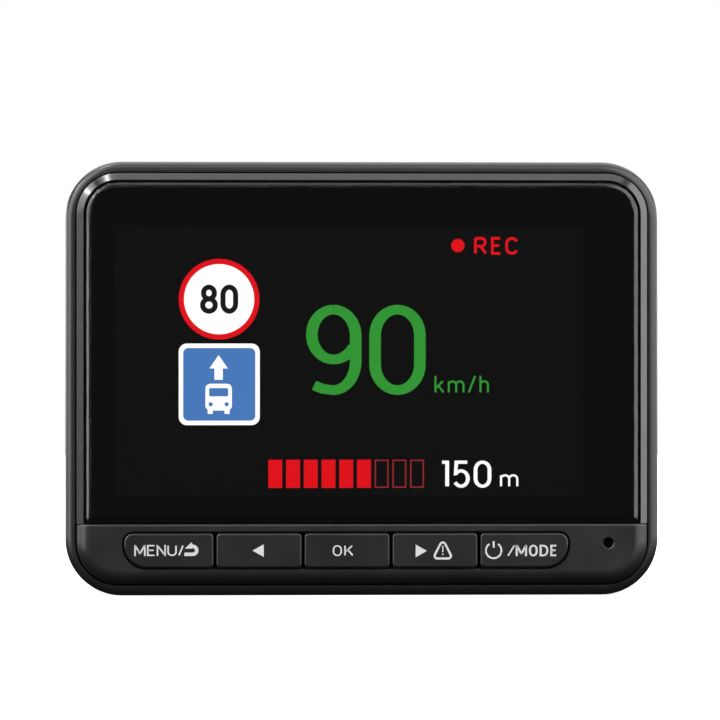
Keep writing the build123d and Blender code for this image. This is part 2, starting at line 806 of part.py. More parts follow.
def foam_strips():
    """Two foam strips between the display module and the board, and the battery's foam tape."""
    strips = [prism(centred(display_x + dx, lcd_high - 7, 14, 8, 0.6), y_frame_back,
                    y_board) for dx in (-18, 18)]
    tape = centred(battery_x, battery_z, battery_length - 5, battery_width - 4)
    return joined(strips + [prism(tape, y_board_back, y_battery)])


# main board
def main_board():
    face = rounded(-board_half_width, side_wall + board_margin, board_half_width,
                   body_height - side_wall - board_margin, board_corner_radius)
    board = prism(face, y_board, y_board_back)
    for x, z in screw_places:
        board -= prism(disc(x, z, housing_screw_radius + screw_hole_clearance), y_board - 1,
                       y_board_back + 1)
    for x, z in board_screw_places:
        board -= prism(disc(x, z, small_screw_radius + screw_hole_clearance), y_board - 1,
                       y_board_back + 1)
    return board


def board_block(x, z, width, height, depth, radius=0.0):
    """A component standing on the board's rear face."""
    return prism(centred(x, z, width, height, radius), y_board_back, y_board_back + depth)


def board_chips():
    """The main processor and the smaller chips."""
    places = ((0.5, 43.8, 7, 4.4, 1.0), (9.0, 44.0, 5, 5, 0.9), (-25.5, 44.5, 4, 4, 0.9),
              (-29.5, 16.5, 6, 5, 1.0),
              (-27.2, 8.2, 3, 4, 0.8))
    chips = [board_block(x, z, w, h, d, 0.2) for x, z, w, h, d in places]
    return joined([board_block(processor_x, processor_z, processor_side, processor_side,
                               processor_height, 0.3)]
                  + chips)


def power_coils():
    return joined([board_block(x, z, 3.6, 3.6, 1.8, 0.7) for x,
                   z in ((30.4, 18.4), (31.2, 36.6), (-19.5, 44.5))])


def board_capacitors():
    """Rows of chip capacitors."""
    solids = []
    for column in range(5):
        for row in range(2):
            solids.append(board_block(-27.5 + 1.9 * column, 20.9 + 1.6 * row, 1.2, 0.8, 0.7))
    for column in range(4):
        solids.append(board_block(-2.5 + 2.0 * column, 47.6, 1.2, 0.8, 0.7))
    return joined(solids)


def board_connectors():
    """Display socket, camera plug block, two headers under the radar board, and lead plugs."""
    solids = [lcd_connector(), board_block(lens_x + 4, lens_z + 6.2, 10, 3,
                                           y_camera_board - y_board_back, 0.2)]
    for side in (-1, 1):
        x = radar_x + side * (radar_board_width / 2 - 1.6)
        solids.append(board_block(x, radar_z, 2.0, 12.0, radar_board_gap))
    solids.append(board_block(speaker_plug_x, speaker_plug_z, 2.4, 3.2, lead_plug_height, 0.2))
    solids.append(board_block(antenna_plug_x, antenna_plug_z, 2.2, 2.2, lead_plug_height, 0.4))
    return joined(solids)


def thermal_pad():
    y = y_board_back + processor_height
    return prism(centred(processor_x, processor_z, processor_side - 1, processor_side - 1), y,
                 y + pad_thickness)


def heat_sink():
    """Finned aluminium plate that rests on the thermal pad."""
    y = y_heat_sink
    sink = prism(centred(processor_x, processor_z, heat_sink_width, heat_sink_height, 0.5), y,
                 y + heat_sink_base)
    pitch = (heat_sink_width - heat_sink_fin_thickness) / (heat_sink_fins - 1)
    for i in range(heat_sink_fins):
        x = processor_x - heat_sink_width / 2 + heat_sink_fin_thickness / 2 + i * pitch
        fin = centred(x, processor_z, heat_sink_fin_thickness, heat_sink_height)
        sink += prism(fin, y, y + heat_sink_base + heat_sink_fin_height)
    return sink


def battery():
    face = centred(battery_x, battery_z, battery_length, battery_width, 1.2)
    cell = prism(face, y_battery, y_battery + battery_thickness)
    return fillet(edges_at_y(cell, y_battery + battery_thickness), 0.8)


# camera
def camera_board():
    board = prism(centred(lens_x, lens_z, camera_board_width, camera_board_height, 1.0),
                  y_camera_board, y_camera_board_back)
    for x, z in camera_screw_places:
        board -= prism(disc(x, z, small_screw_radius + screw_hole_clearance), y_camera_board - 1,
                       y_camera_board_back + 1)
    return board


def image_sensor():
    return prism(centred(lens_x, lens_z, 8.0, 6.6), y_camera_board_back, y_camera_board_back + 0.9)


def lens_holder():
    """Square base over the sensor with the threaded tube that takes the barrel."""
    y = y_camera_board_back
    holder = prism(centred(lens_x, lens_z, lens_holder_side, lens_holder_side, 1.5), y,
                   y + lens_holder_base)
    holder += prism(disc(lens_x, lens_z, lens_holder_tube_radius), y,
                    y + lens_holder_base + lens_holder_tube_length)
    holder -= prism(centred(lens_x, lens_z, 10.0, 9.0, 0.5), y - 1, y + lens_holder_base - 1.2)
    holder -= prism(centred(lens_x, lens_z, 6.0, 5.0, 0.3), y - 1, y + lens_holder_base)
    holder -= prism(centred(lens_x, lens_z, 7.2, 6.2), y + lens_holder_base - 0.45,
                    y + lens_holder_base)
    return holder - prism(disc(lens_x, lens_z, barrel_thread_radius + 0.02), y + lens_holder_base,
                          y + lens_holder_base + lens_holder_tube_length + 1)


def infrared_filter():
    y = y_camera_board_back + lens_holder_base - 0.4
    return prism(centred(lens_x, lens_z, 7.0, 6.0), y, y + 0.3)


def lens_barrel():
    """Threaded tube with a wide hooded head; the glasses sit in its stepped bore."""
    y0 = y_camera_board_back + lens_holder_base + 0.4
    mouth = front_glass_radius + 0.05
    return turned([
        (barrel_bore_radius - 1.0, y0, 0), (barrel_thread_radius, y0, 0.3),
        (barrel_thread_radius, y_barrel_head, 0), (barrel_head_radius, y_barrel_head, 0.4),
        (barrel_head_radius, y_lens_end, 0.5), (barrel_head_radius - 0.9, y_lens_end, 0.2),
        (mouth, y_lens_end - 1.9, 0), (mouth, y_lens_end - glass_seat_depth, 0),
        (barrel_bore_radius, y_lens_end - glass_seat_depth, 0), (barrel_bore_radius, y0 + 1.2, 0),
        (barrel_bore_radius - 1.0, y0 + 1.2, 0),
    ], lens_x, lens_z)


def front_glass():
    """Domed outer lens with a hollow back."""
    y_seat_glass = y_lens_end - glass_seat_depth
    rim = y_seat_glass + 1.6
    apex = y_lens_end - 0.7
    edge = front_glass_radius
    face = axial(lens_x, lens_z) * make_face([
        Line((0, y_seat_glass + 1.3), (0, apex)),
        cap_arc(edge, apex, rim),
        Line((edge, rim), (edge, y_seat_glass)),
        Line((edge, y_seat_glass), (front_glass_hollow, y_seat_glass)),
        cap_arc(front_glass_hollow, y_seat_glass + 1.3, y_seat_glass),
    ])
    return revolve(face, Axis((lens_x, 0, lens_z), (0, 1, 0)))


def inner_glass(y, thickness, bulge):
    """A plain inner lens, bulging towards the front."""
    r = barrel_bore_radius - 0.02
    face = axial(lens_x, lens_z) * make_face([
        Line((0, y), (0, y + thickness + bulge)),
        cap_arc(r, y + thickness + bulge, y + thickness),
        Line((r, y + thickness), (r, y)),
        Line((r, y), (0, y)),
    ])
    return revolve(face, Axis((lens_x, 0, lens_z), (0, 1, 0)))


def lens_spacer():
    """Ring between the two inner glasses."""
    y = y_camera_board_back + lens_holder_base + 3.4
    return turned([(barrel_bore_radius - 1.0, y, 0), (barrel_bore_radius - 0.02, y, 0),
                   (barrel_bore_radius - 0.02, y + 3.0, 0), (barrel_bore_radius - 1.0, y + 3.0, 0)],
                   lens_x, lens_z)


def lens_trim_ring():
    """Gloss ring pressed into the turret, with a flange over its end and a sloping throat."""
    inner, outer = trim_bore_radius, turret_bore_radius - trim_ring_fit
    y_flange_ring = y_turret_end + 0.02
    y_end = y_flange_ring + trim_flange_thickness
    y_start = y_turret_end - trim_ring_length
    return turned([
        (inner, y_start, 0), (outer, y_start, 0.3), (outer, y_flange_ring, 0),
        (trim_flange_radius, y_flange_ring, 0), (trim_flange_radius, y_end, 0.45),
        (inner + 0.9, y_end, 0.2), (inner, y_end - 0.9, 0),
    ], lens_x, lens_z)


# radar and satellite receivers
def radar_board():
    board = prism(centred(radar_x, radar_z, radar_board_width, radar_board_height, 0.8),
                  y_radar_board, y_horn)
    return board


def radar_shield():
    """Tinned steel can over the mixer, between the boards."""
    can = prism(centred(radar_x, radar_z, 16.0, 15.0, 0.8), y_radar_board - 1.6, y_radar_board)
    return can - prism(centred(radar_x, radar_z, 15.6, 14.6, 0.6), y_radar_board - 1.4,
                       y_radar_board + 1)


def horn_section(width, height, y):
    plane = Plane(origin=(radar_x, y, radar_z), x_dir=(1, 0, 0), z_dir=(0, -1, 0))
    return plane * Rectangle(width, height)


def horn_antenna():
    """Die-cast horn: a short waveguide throat that flares to the mouth behind the back wall."""
    y_flare = y_horn + horn_throat_length
    wall = 2 * horn_wall
    outer = prism(centred(radar_x, radar_z, horn_throat_width + wall, horn_throat_height + wall),
                  y_horn, y_flare)
    outer += loft([horn_section(horn_throat_width + wall, horn_throat_height + wall, y_flare),
                   horn_section(horn_mouth_width + wall, horn_mouth_height + wall, y_horn_mouth)])
    outer += prism(centred(radar_x, radar_z, horn_throat_width + 6, horn_throat_height + 6, 1.0),
                   y_horn, y_horn + 1.0)
    inner = prism(centred(radar_x, radar_z, horn_throat_width, horn_throat_height), y_horn - 1, y_flare)
    inner += loft([horn_section(horn_throat_width, horn_throat_height, y_flare),
                   horn_section(horn_mouth_width, horn_mouth_height, y_horn_mouth)])
    return outer - inner - prism(centred(radar_x, radar_z, horn_mouth_width, horn_mouth_height),
                                 y_horn_mouth - 0.01, y_horn_mouth + 1)


def radar_cover():
    """Gloss radome plate let into the back face in front of the horn."""
    face = centred(radar_x, radar_z, radar_cover_width, radar_cover_height,
                   radar_cover_corner_radius - 0.08)
    cover = prism(face, y_back - radar_cover_thickness, y_back + 0.1)
    return fillet(edges_at_y(cover, y_back + 0.1), 0.3)


def antenna_patch():
    """Ceramic patch that looks up through the roof."""
    face = rounded(antenna_x - antenna_side / 2, y_antenna, antenna_x + antenna_side / 2,
                   y_antenna + antenna_side, 0.4)
    return upright(face, antenna_low, antenna_top)


def antenna_plate():
    """Silver electrode on the patch."""
    half = antenna_side / 2 - 1.6
    face = outline([(antenna_x - half, antenna_y_middle - half, 0),
                    (antenna_x + half, antenna_y_middle - half, 0),
                    (antenna_x + half, antenna_y_middle + half - 1.0, 0),
                    (antenna_x + half - 1.0, antenna_y_middle + half, 0),
                    (antenna_x - half, antenna_y_middle + half, 0)])
    return upright(face, antenna_top, antenna_top + 0.1)


def antenna_board():
    """Small board under the patch, standing out from the main board."""
    face = rounded(antenna_x - antenna_side / 2, y_board_back, antenna_x + antenna_side / 2,
                   y_antenna + antenna_side)
    return upright(face, antenna_low - antenna_board_thickness, antenna_low)


# speaker
def speaker_frame():
    """Steel basket: rim, back plate with a hole for the magnet."""
    y0, y1 = y_speaker_back + 1.4, y_speaker_front
    return turned([(speaker_magnet_radius + 0.05, y0, 0), (speaker_radius - 1.2, y0, 0.3),
                   (speaker_radius, y1 - 1.4, 0), (speaker_radius, y1, 0),
                   (speaker_radius - 0.8, y1, 0),
                   (speaker_radius - 0.8, y1 - 1.3, 0), (speaker_radius - 1.5, y0 + 0.5, 0),
                   (speaker_magnet_radius + 0.05, y0 + 0.5, 0)], speaker_x, speaker_z)


def speaker_magnet():
    magnet = prism(disc(speaker_x, speaker_z, speaker_magnet_radius), y_speaker_back,
                   y_speaker_back + 1.9)
    return fillet(edges_at_y(magnet, y_speaker_back), 0.3)


def speaker_cone():
    """Diaphragm: a middle dome, a flat ring and a rolled edge."""
    r = speaker_radius - 0.85
    y = y_speaker_front - 0.95
    skin = 0.2
    dome, roll = r * 0.5, r * 0.7
    top = (roll + r - 0.3) / 2
    face = axial(speaker_x, speaker_z) * make_face([
        Line((0, y + 0.4), (0, y + 0.4 + skin)),
        cap_arc(dome, y + 0.4 + skin, y),
        Line((dome, y), (roll, y)),
        ThreePointArc((roll, y), (top, y + 0.5), (r - 0.3, y)),
        Line((r - 0.3, y), (r, y)),
        Line((r, y), (r, y - skin)),
        Line((r, y - skin), (r - 0.3 - skin, y - skin)),
        ThreePointArc((r - 0.3 - skin, y - skin), (top, y + 0.3), (roll + skin, y - skin)),
        Line((roll + skin, y - skin), (dome, y - skin)),
        ThreePointArc((dome, y - skin), (dome / 2, y + 0.22), (0.2, y + 0.4)),
        Line((0.2, y + 0.4), (0, y + 0.4)),
    ])
    return revolve(face, Axis((speaker_x, 0, speaker_z), (0, 1, 0)))


# sockets and card
def usb_socket():
    """Folded steel shell of the power socket."""
    x0, x1 = usb_end_x - usb_length, usb_end_x
    outer = rounded(y_board_back, usb_z - usb_width / 2, y_board_back + usb_height,
                    usb_z + usb_width / 2, 0.7)
    inner = rounded(y_board_back + usb_sheet, usb_z - usb_width / 2 + usb_sheet,
                    y_board_back + usb_height - usb_sheet, usb_z + usb_width / 2 - usb_sheet, 0.4)
    return sideways(outer, x0, x1) - sideways(inner, x0 + 1.2, x1 + 1)


def usb_tongue():
    """Insulated contact blade inside the power socket."""
    x0, x1 = usb_end_x - usb_length + 1.2, usb_end_x - 1.6
    middle = y_board_back + usb_height / 2
    return sideways(rounded(middle - 0.5, usb_z - 2.5, middle + 0.5, usb_z + 2.5, 0.2), x0, x1)


def card_socket():
    """Push-push card socket, open towards the housing's left side."""
    x0 = -inner_half_width + 0.5
    x1 = x0 + card_socket_length
    half = card_width / 2 + 1.4
    outer = rounded(y_board_back, card_z - half, y_board_back + card_socket_height, card_z + half)
    body = sideways(outer, x0, x1)
    room = rounded(y_card - card_clearance, card_z - card_width / 2 - card_clearance,
                   y_card + card_thickness + card_clearance, card_z + card_width / 2 + card_clearance)
    body -= sideways(room, x0 - 1, card_end_x + card_length + card_push + 0.2)
    window = centred((x0 + x1) / 2 + 1, card_z, 6, 7, 0.5)
    return body - prism(window, y_board_back + card_socket_height - card_socket_sheet - 0.2,
                        y_board_back + 5)


def memory_card():
    """Card with one notched edge."""
    x0, x1 = card_end_x, card_end_x + card_length
    z0, z1 = card_z - card_width / 2, card_z + card_width / 2
    face = outline([(x0, z0, 0.6), (x1, z0, 0.6), (x1, z1 - 1.3, 0.4), (x1 - 5.5, z1 - 1.3, 0.2),
                    (x1 - 6.4, z1, 0.2), (x0, z1, 0.6)])
    return prism(face, y_card, y_card + card_thickness)


# bracket socket
def mount_socket():
    """Insert in the top wall with the T-shaped slot that the windscreen bracket's foot slides into."""
    block = upright(socket_outline(0), socket_low, body_height) & housing_blank()
    neck = rounded(-slot_neck_width / 2, y_slot_end, slot_neck_width / 2, y_back + 1)
    head = rounded(-slot_head_width / 2, y_slot_end, slot_head_width / 2, y_back + 1)
    block -= upright(neck, slot_low, body_height + 1)
    block -= upright(head, slot_low, body_height - slot_lip)
    for x in contact_middles():
        block -= upright(centred(x, y_contact, contact_width + 0.04, contact_length + 0.04),
                         slot_low - contact_thickness + contact_proud - 0.02, slot_low + 0.5)
    return block


def contact_middles():
    return [(i - (contact_count - 1) / 2) * contact_pitch for i in range(contact_count)]


def mount_contacts():
    """Gold-faced power contacts in the slot's floor."""
    z = slot_low - contact_thickness + contact_proud
    return joined([upright(centred(x, y_contact, contact_width, contact_length, 0.3), z,
                           z + contact_thickness)
                   for x in contact_middles()])


# fasteners
def housing_screw(x, z):
    """Pan-head screw driven from the back, with a cross recess."""
    y = y_screw_head
    screw = prism(disc(x, z, housing_screw_radius), y - housing_screw_length, y)
    head = prism(disc(x, z, housing_screw_head_radius), y, y + housing_screw_head_height)
    screw += fillet(edges_at_y(head, y + housing_screw_head_height), 0.5)
    for width, height in ((2.0, 0.5), (0.5, 2.0)):
        screw -= prism(centred(x, z, width, height), y + housing_screw_head_height - 0.7, y + 3)
    return screw


def small_screw(x, z, y_head, towards):
    """Small board screw; towards is the sign of Y that its point faces."""
    near, far = sorted((y_head, y_head + towards * small_screw_length))
    shank = prism(disc(x, z, small_screw_radius), near, far)
    near, far = sorted((y_head, y_head - towards * small_screw_head_height))
    screw = shank + prism(disc(x, z, small_screw_head_radius), near, far)
    near, far = sorted((y_head - towards * 0.4, y_head - towards * 2))
    for width, height in ((1.4, 0.35), (0.35, 1.4)):
        screw -= prism(centred(x, z, width, height), near, far)
    return screw


# leads
def lead(points, radius, bends):
    """Round lead along straight runs joined by arcs."""
    path = FilletPolyline(*points, radius=bends)
    start = Plane(origin=path @ 0, z_dir=path % 0)
    return sweep(start * Circle(radius), path=path)


def internal_leads():
    """The speaker's two leads and the satellite antenna's coaxial lead, each ending on its plug."""
    y_plug = y_board_back + lead_plug_height
    y_plate = y_speaker_back + 1.4
    solids = []
    for side in (-0.5, 0.5):
        x = speaker_x - 4.5
        offset = side * speaker_lead_spacing
        solids.append(lead([(x, y_plate, speaker_z + 2.0 + offset),
                            (x, y_plate - 3.4, speaker_z + 2.0 + offset),
                            (speaker_plug_x, y_plug + 3.2, speaker_plug_z + offset),
                            (speaker_plug_x, y_plug, speaker_plug_z + offset)], speaker_lead_radius,
                            2.4))
    x = antenna_plug_x
    z = antenna_low - antenna_board_thickness
    solids.append(lead([(x, y_antenna + 6.0, z), (x, y_antenna + 6.0, antenna_plug_z),
                        (x, y_plug, antenna_plug_z)], antenna_lead_radius, 2.0))
    return joined(solids)


# build
key_names = ("menu", "left", "ok", "right", "power")


def main():
    os.makedirs("parts", exist_ok=True)
    save("rear_housing", rear_housing())
    save("front_bezel", front_bezel())
    save("screen_window", screen_window())
    save("window_mask", window_mask())
    save("button_panel", button_panel())
    for index, name in enumerate(key_names):
        save(f"{name}_key", key(index))
        save(f"{name}_switch_plunger", switch_plunger(index))
    save("key_switches", joined([switch_body(i) for i in range(key_count)]))
    save("key_switch_covers", joined([switch_cover(i) for i in range(key_count)]))
    save("microphone", microphone())
    save("microphone_boot", microphone_boot())
    save("lcd_panel", lcd_panel())
    save("lcd_backlight", lcd_backlight())
    save("lcd_frame", lcd_frame())
    save("lcd_ribbon", lcd_ribbon())
    save("foam_strips", foam_strips())
    save("main_board", main_board())
    save("board_chips", board_chips())
    save("board_connectors", board_connectors())
    save("power_coils", power_coils())
    save("board_capacitors", board_capacitors())
    save("thermal_pad", thermal_pad())
    save("heat_sink", heat_sink())
    save("backup_battery", battery())
    save("camera_board", camera_board())
    save("image_sensor", image_sensor())
    save("lens_holder", lens_holder())
    save("lens_barrel", lens_barrel())
    save("front_glass", front_glass())
    y_inner = y_camera_board_back + lens_holder_base
    save("inner_glasses", joined([infrared_filter(), inner_glass(y_inner + 1.65, 1.3, 0.4),
                                  inner_glass(y_inner + 6.45, 1.2, 0.6)]))
    save("lens_spacer", lens_spacer())
    save("lens_trim_ring", lens_trim_ring())
    save("radar_board", radar_board())
    save("radar_shield", radar_shield())
    save("horn_antenna", horn_antenna())
    save("radar_cover", radar_cover())
    save("antenna_patch", antenna_patch())
    save("antenna_plate", antenna_plate())
    save("antenna_board", antenna_board())
    save("speaker_frame", speaker_frame())
    save("speaker_magnet", speaker_magnet())
    save("speaker_cone", speaker_cone())
    save("usb_socket", usb_socket())
    save("usb_tongue", usb_tongue())
    save("card_socket", card_socket())
    save("memory_card", memory_card())
    save("mount_socket", mount_socket())
    save("mount_contacts", mount_contacts())
    save("housing_screws", joined([housing_screw(x, z) for x, z in screw_places]))
    board_screws = [small_screw(x, z, y_board_back, -1) for x, z in board_screw_places]
    camera_screws = [small_screw(x, z, y_camera_board, 1) for x, z in camera_screw_places]
    save("board_screws", joined(board_screws + camera_screws))
    save("internal_leads", internal_leads())


main()
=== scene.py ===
import math

import bpy
import numpy as np
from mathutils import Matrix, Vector


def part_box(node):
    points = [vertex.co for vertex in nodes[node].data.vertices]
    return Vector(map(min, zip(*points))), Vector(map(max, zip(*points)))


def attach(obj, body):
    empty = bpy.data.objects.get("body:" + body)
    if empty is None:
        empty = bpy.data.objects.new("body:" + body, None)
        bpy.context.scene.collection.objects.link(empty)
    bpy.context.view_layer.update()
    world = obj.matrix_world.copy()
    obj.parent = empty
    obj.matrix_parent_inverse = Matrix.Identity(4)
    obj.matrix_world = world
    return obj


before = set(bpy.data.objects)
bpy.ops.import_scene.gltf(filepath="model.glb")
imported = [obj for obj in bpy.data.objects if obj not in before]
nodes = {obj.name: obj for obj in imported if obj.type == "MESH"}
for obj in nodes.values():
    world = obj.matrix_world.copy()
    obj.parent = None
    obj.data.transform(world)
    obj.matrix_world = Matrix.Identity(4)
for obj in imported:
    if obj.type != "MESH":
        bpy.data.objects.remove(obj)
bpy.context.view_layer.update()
scene = bpy.context.scene
mm = 0.001
print("frame loaded:", len(nodes), "nodes")


cameraPlace = {
    "target": (-0.3 * mm, -15.0 * mm, 29.86 * mm),
    "azimuth": -2.0,
    "elevation": 0.0,
    "distance": 0.55,
    "lens": 216.9,
    "sensor": 36.0,
    "near": 0.01,
    "far": 20.0,
}


def outward(azimuth, elevation):
    # unit direction from the detector: azimuth 0 towards the driver, 90 to the right, elevation up
    a = math.radians(azimuth)
    e = math.radians(elevation)
    return Vector((math.sin(a) * math.cos(e), -math.cos(a) * math.cos(e), math.sin(e)))


def makeCamera(place):
    # a long lens on the line from the target towards the driver, turned to look back along it
    data = bpy.data.cameras.new("driverCamera")
    data.lens = place["lens"]
    data.sensor_width = place["sensor"]
    data.clip_start = place["near"]
    data.clip_end = place["far"]
    data.dof.use_dof = False
    camera = bpy.data.objects.new("driverCamera", data)
    scene.collection.objects.link(camera)
    back = outward(place["azimuth"], place["elevation"])
    camera.location = Vector(place["target"]) + back * place["distance"]
    camera.rotation_mode = "QUATERNION"
    camera.rotation_quaternion = (-back).to_track_quat("-Z", "Y")
    scene.camera = camera
    return camera


lampAim = Vector((0, 0, 30 * mm))       # every lamp faces the middle of the detector
softboxes = {
    # azimuth and elevation of the middle, distance, width, height in metres, and brightness
    "leftSoftbox": {"at": (-62, 24, 1.4), "size": (1.35, 1.6), "bright": 4.6},
    "leftBackSoftbox": {"at": (-128, 4.5, 1.4), "size": (1.7, 0.27), "bright": 4.8},
    "rightSoftbox": {"at": (62, 24, 1.4), "size": (2.7, 1.6), "bright": 3.4},
    "rightBackSoftbox": {"at": (138, 4.5, 1.4), "size": (1.5, 0.27), "bright": 4.0},
    "backSoftbox": {"at": (180, 58, 1.4), "size": (2.0, 1.0), "bright": 2.6},
    "topSoftbox": {"at": (0, 74, 1.3), "size": (1.6, 1.8), "bright": 1.5},
    "leftStrip": {"at": (-15, 3, 1.4), "size": (0.05, 0.9), "bright": 3.4},
    "topStrip": {"at": (0, 17, 1.4), "size": (0.9, 0.05), "bright": 2.4},
    "upperCornerSpot": {"at": (-77, 71, 1.4), "size": (0.10, 0.10), "bright": 110.0},
    "lowerCornerSpot": {"at": (-85, 37, 1.4), "size": (0.10, 0.10), "bright": 110.0},
}


def makeSoftbox(name, look):
    # the power that gives a flat panel the wanted brightness is brightness * pi * area
    azimuth, elevation, distance = look["at"]
    width, height = look["size"]
    data = bpy.data.lights.new(name, "AREA")
    data.shape = "RECTANGLE"
    data.size = width
    data.size_y = height
    data.energy = look["bright"] * math.pi * width * height
    lamp = bpy.data.objects.new(name, data)
    scene.collection.objects.link(lamp)
    direction = outward(azimuth, elevation)
    lamp.location = lampAim + direction * distance
    lamp.rotation_mode = "QUATERNION"
    lamp.rotation_quaternion = direction.to_track_quat("Z", "Y")
    lamp.visible_camera = False
    return lamp


studio = {
    "backdrop": 1.0,        # what the camera sees behind the detector
    "ambient": 0.078,       # what everything else sees, level and above
    "ambientBelow": 0.03,   # and looking down
    "fade": (-0.35, 0.02),  # heights on the unit sphere between which one becomes the other
    "floorSize": (1.6, 1.6),
    "floorDrop": 0.02 * mm,
    "floorRough": 0.9,
    "floorGlow": 0.75,
    "floorColour": 0.82,
}


def makeWorld(look):
    # white for the camera, and a dim even room for reflections and bounced light
    world = bpy.data.worlds.new("studio")
    scene.world = world
    world.use_nodes = True
    tree = world.node_tree
    tree.nodes.clear()
    output = tree.nodes.new("ShaderNodeOutputWorld")
    mix = tree.nodes.new("ShaderNodeMixShader")
    path = tree.nodes.new("ShaderNodeLightPath")
    room = tree.nodes.new("ShaderNodeBackground")
    wall = tree.nodes.new("ShaderNodeBackground")
    # the room's light falls away below the horizon
    direction = tree.nodes.new("ShaderNodeTexCoord")
    height = tree.nodes.new("ShaderNodeSeparateXYZ")
    fade = tree.nodes.new("ShaderNodeMapRange")
    fade.inputs["From Min"].default_value, fade.inputs["From Max"].default_value = look["fade"]
    fade.inputs["To Min"].default_value = look["ambientBelow"]
    fade.inputs["To Max"].default_value = look["ambient"]
    tree.links.new(direction.outputs["Generated"], height.inputs["Vector"])
    tree.links.new(height.outputs["Z"], fade.inputs["Value"])
    room.inputs["Color"].default_value = (1, 1, 1, 1)
    tree.links.new(fade.outputs["Result"], room.inputs["Strength"])
    wall.inputs["Color"].default_value = (1, 1, 1, 1)
    wall.inputs["Strength"].default_value = look["backdrop"]
    tree.links.new(path.outputs["Is Camera Ray"], mix.inputs["Fac"])
    tree.links.new(room.outputs["Background"], mix.inputs[1])
    tree.links.new(wall.outputs["Background"], mix.inputs[2])
    tree.links.new(mix.outputs["Shader"], output.inputs["Surface"])


def makeFloor(look):
    # a plain pale sheet under the detector, which takes shadows and is kept out of its reflections
    width, depth = look["floorSize"]
    corners = np.array([(-1, -1, 0), (1, -1, 0), (1, 1, 0), (-1, 1, 0)], float)
    corners = corners * (width / 2, depth / 2, 1) - (0, 0, look["floorDrop"])
    mesh = bpy.data.meshes.new("floor")
    mesh.from_pydata(corners.tolist(), [], [(0, 1, 2, 3)])
    floor = bpy.data.objects.new("floor", mesh)
    scene.collection.objects.link(floor)
    material = bpy.data.materials.new("paperSweep")
    material.use_nodes = True
    shader = material.node_tree.nodes["Principled BSDF"]
    shader.inputs["Base Color"].default_value = (look["floorColour"],) * 3 + (1,)
    shader.inputs["Roughness"].default_value = look["floorRough"]
    shader.inputs["Specular IOR Level"].default_value = 0.0
    shader.inputs["Emission Color"].default_value = (1, 1, 1, 1)
    shader.inputs["Emission Strength"].default_value = look["floorGlow"]
    mesh.materials.append(material)
    floor.visible_diffuse = False
    floor.visible_glossy = False
    floor.visible_transmission = False
    return floor


makeCamera(cameraPlace)
for lampName, lampLook in softboxes.items():
    makeSoftbox(lampName, lampLook)
makeWorld(studio)
makeFloor(studio)
scene.view_settings.view_transform = "Standard"
print("studio ready")


def tone(red, green, blue):
    # a colour given as it looks on a screen, 0 to 255, turned into the linear values that shaders take
    shown = np.array((red, green, blue), float) / 255
    linear = np.where(shown <= 0.04045, shown / 12.92, ((shown + 0.055) / 1.055) ** 2.4)
    return tuple(linear.tolist()) + (1.0,)


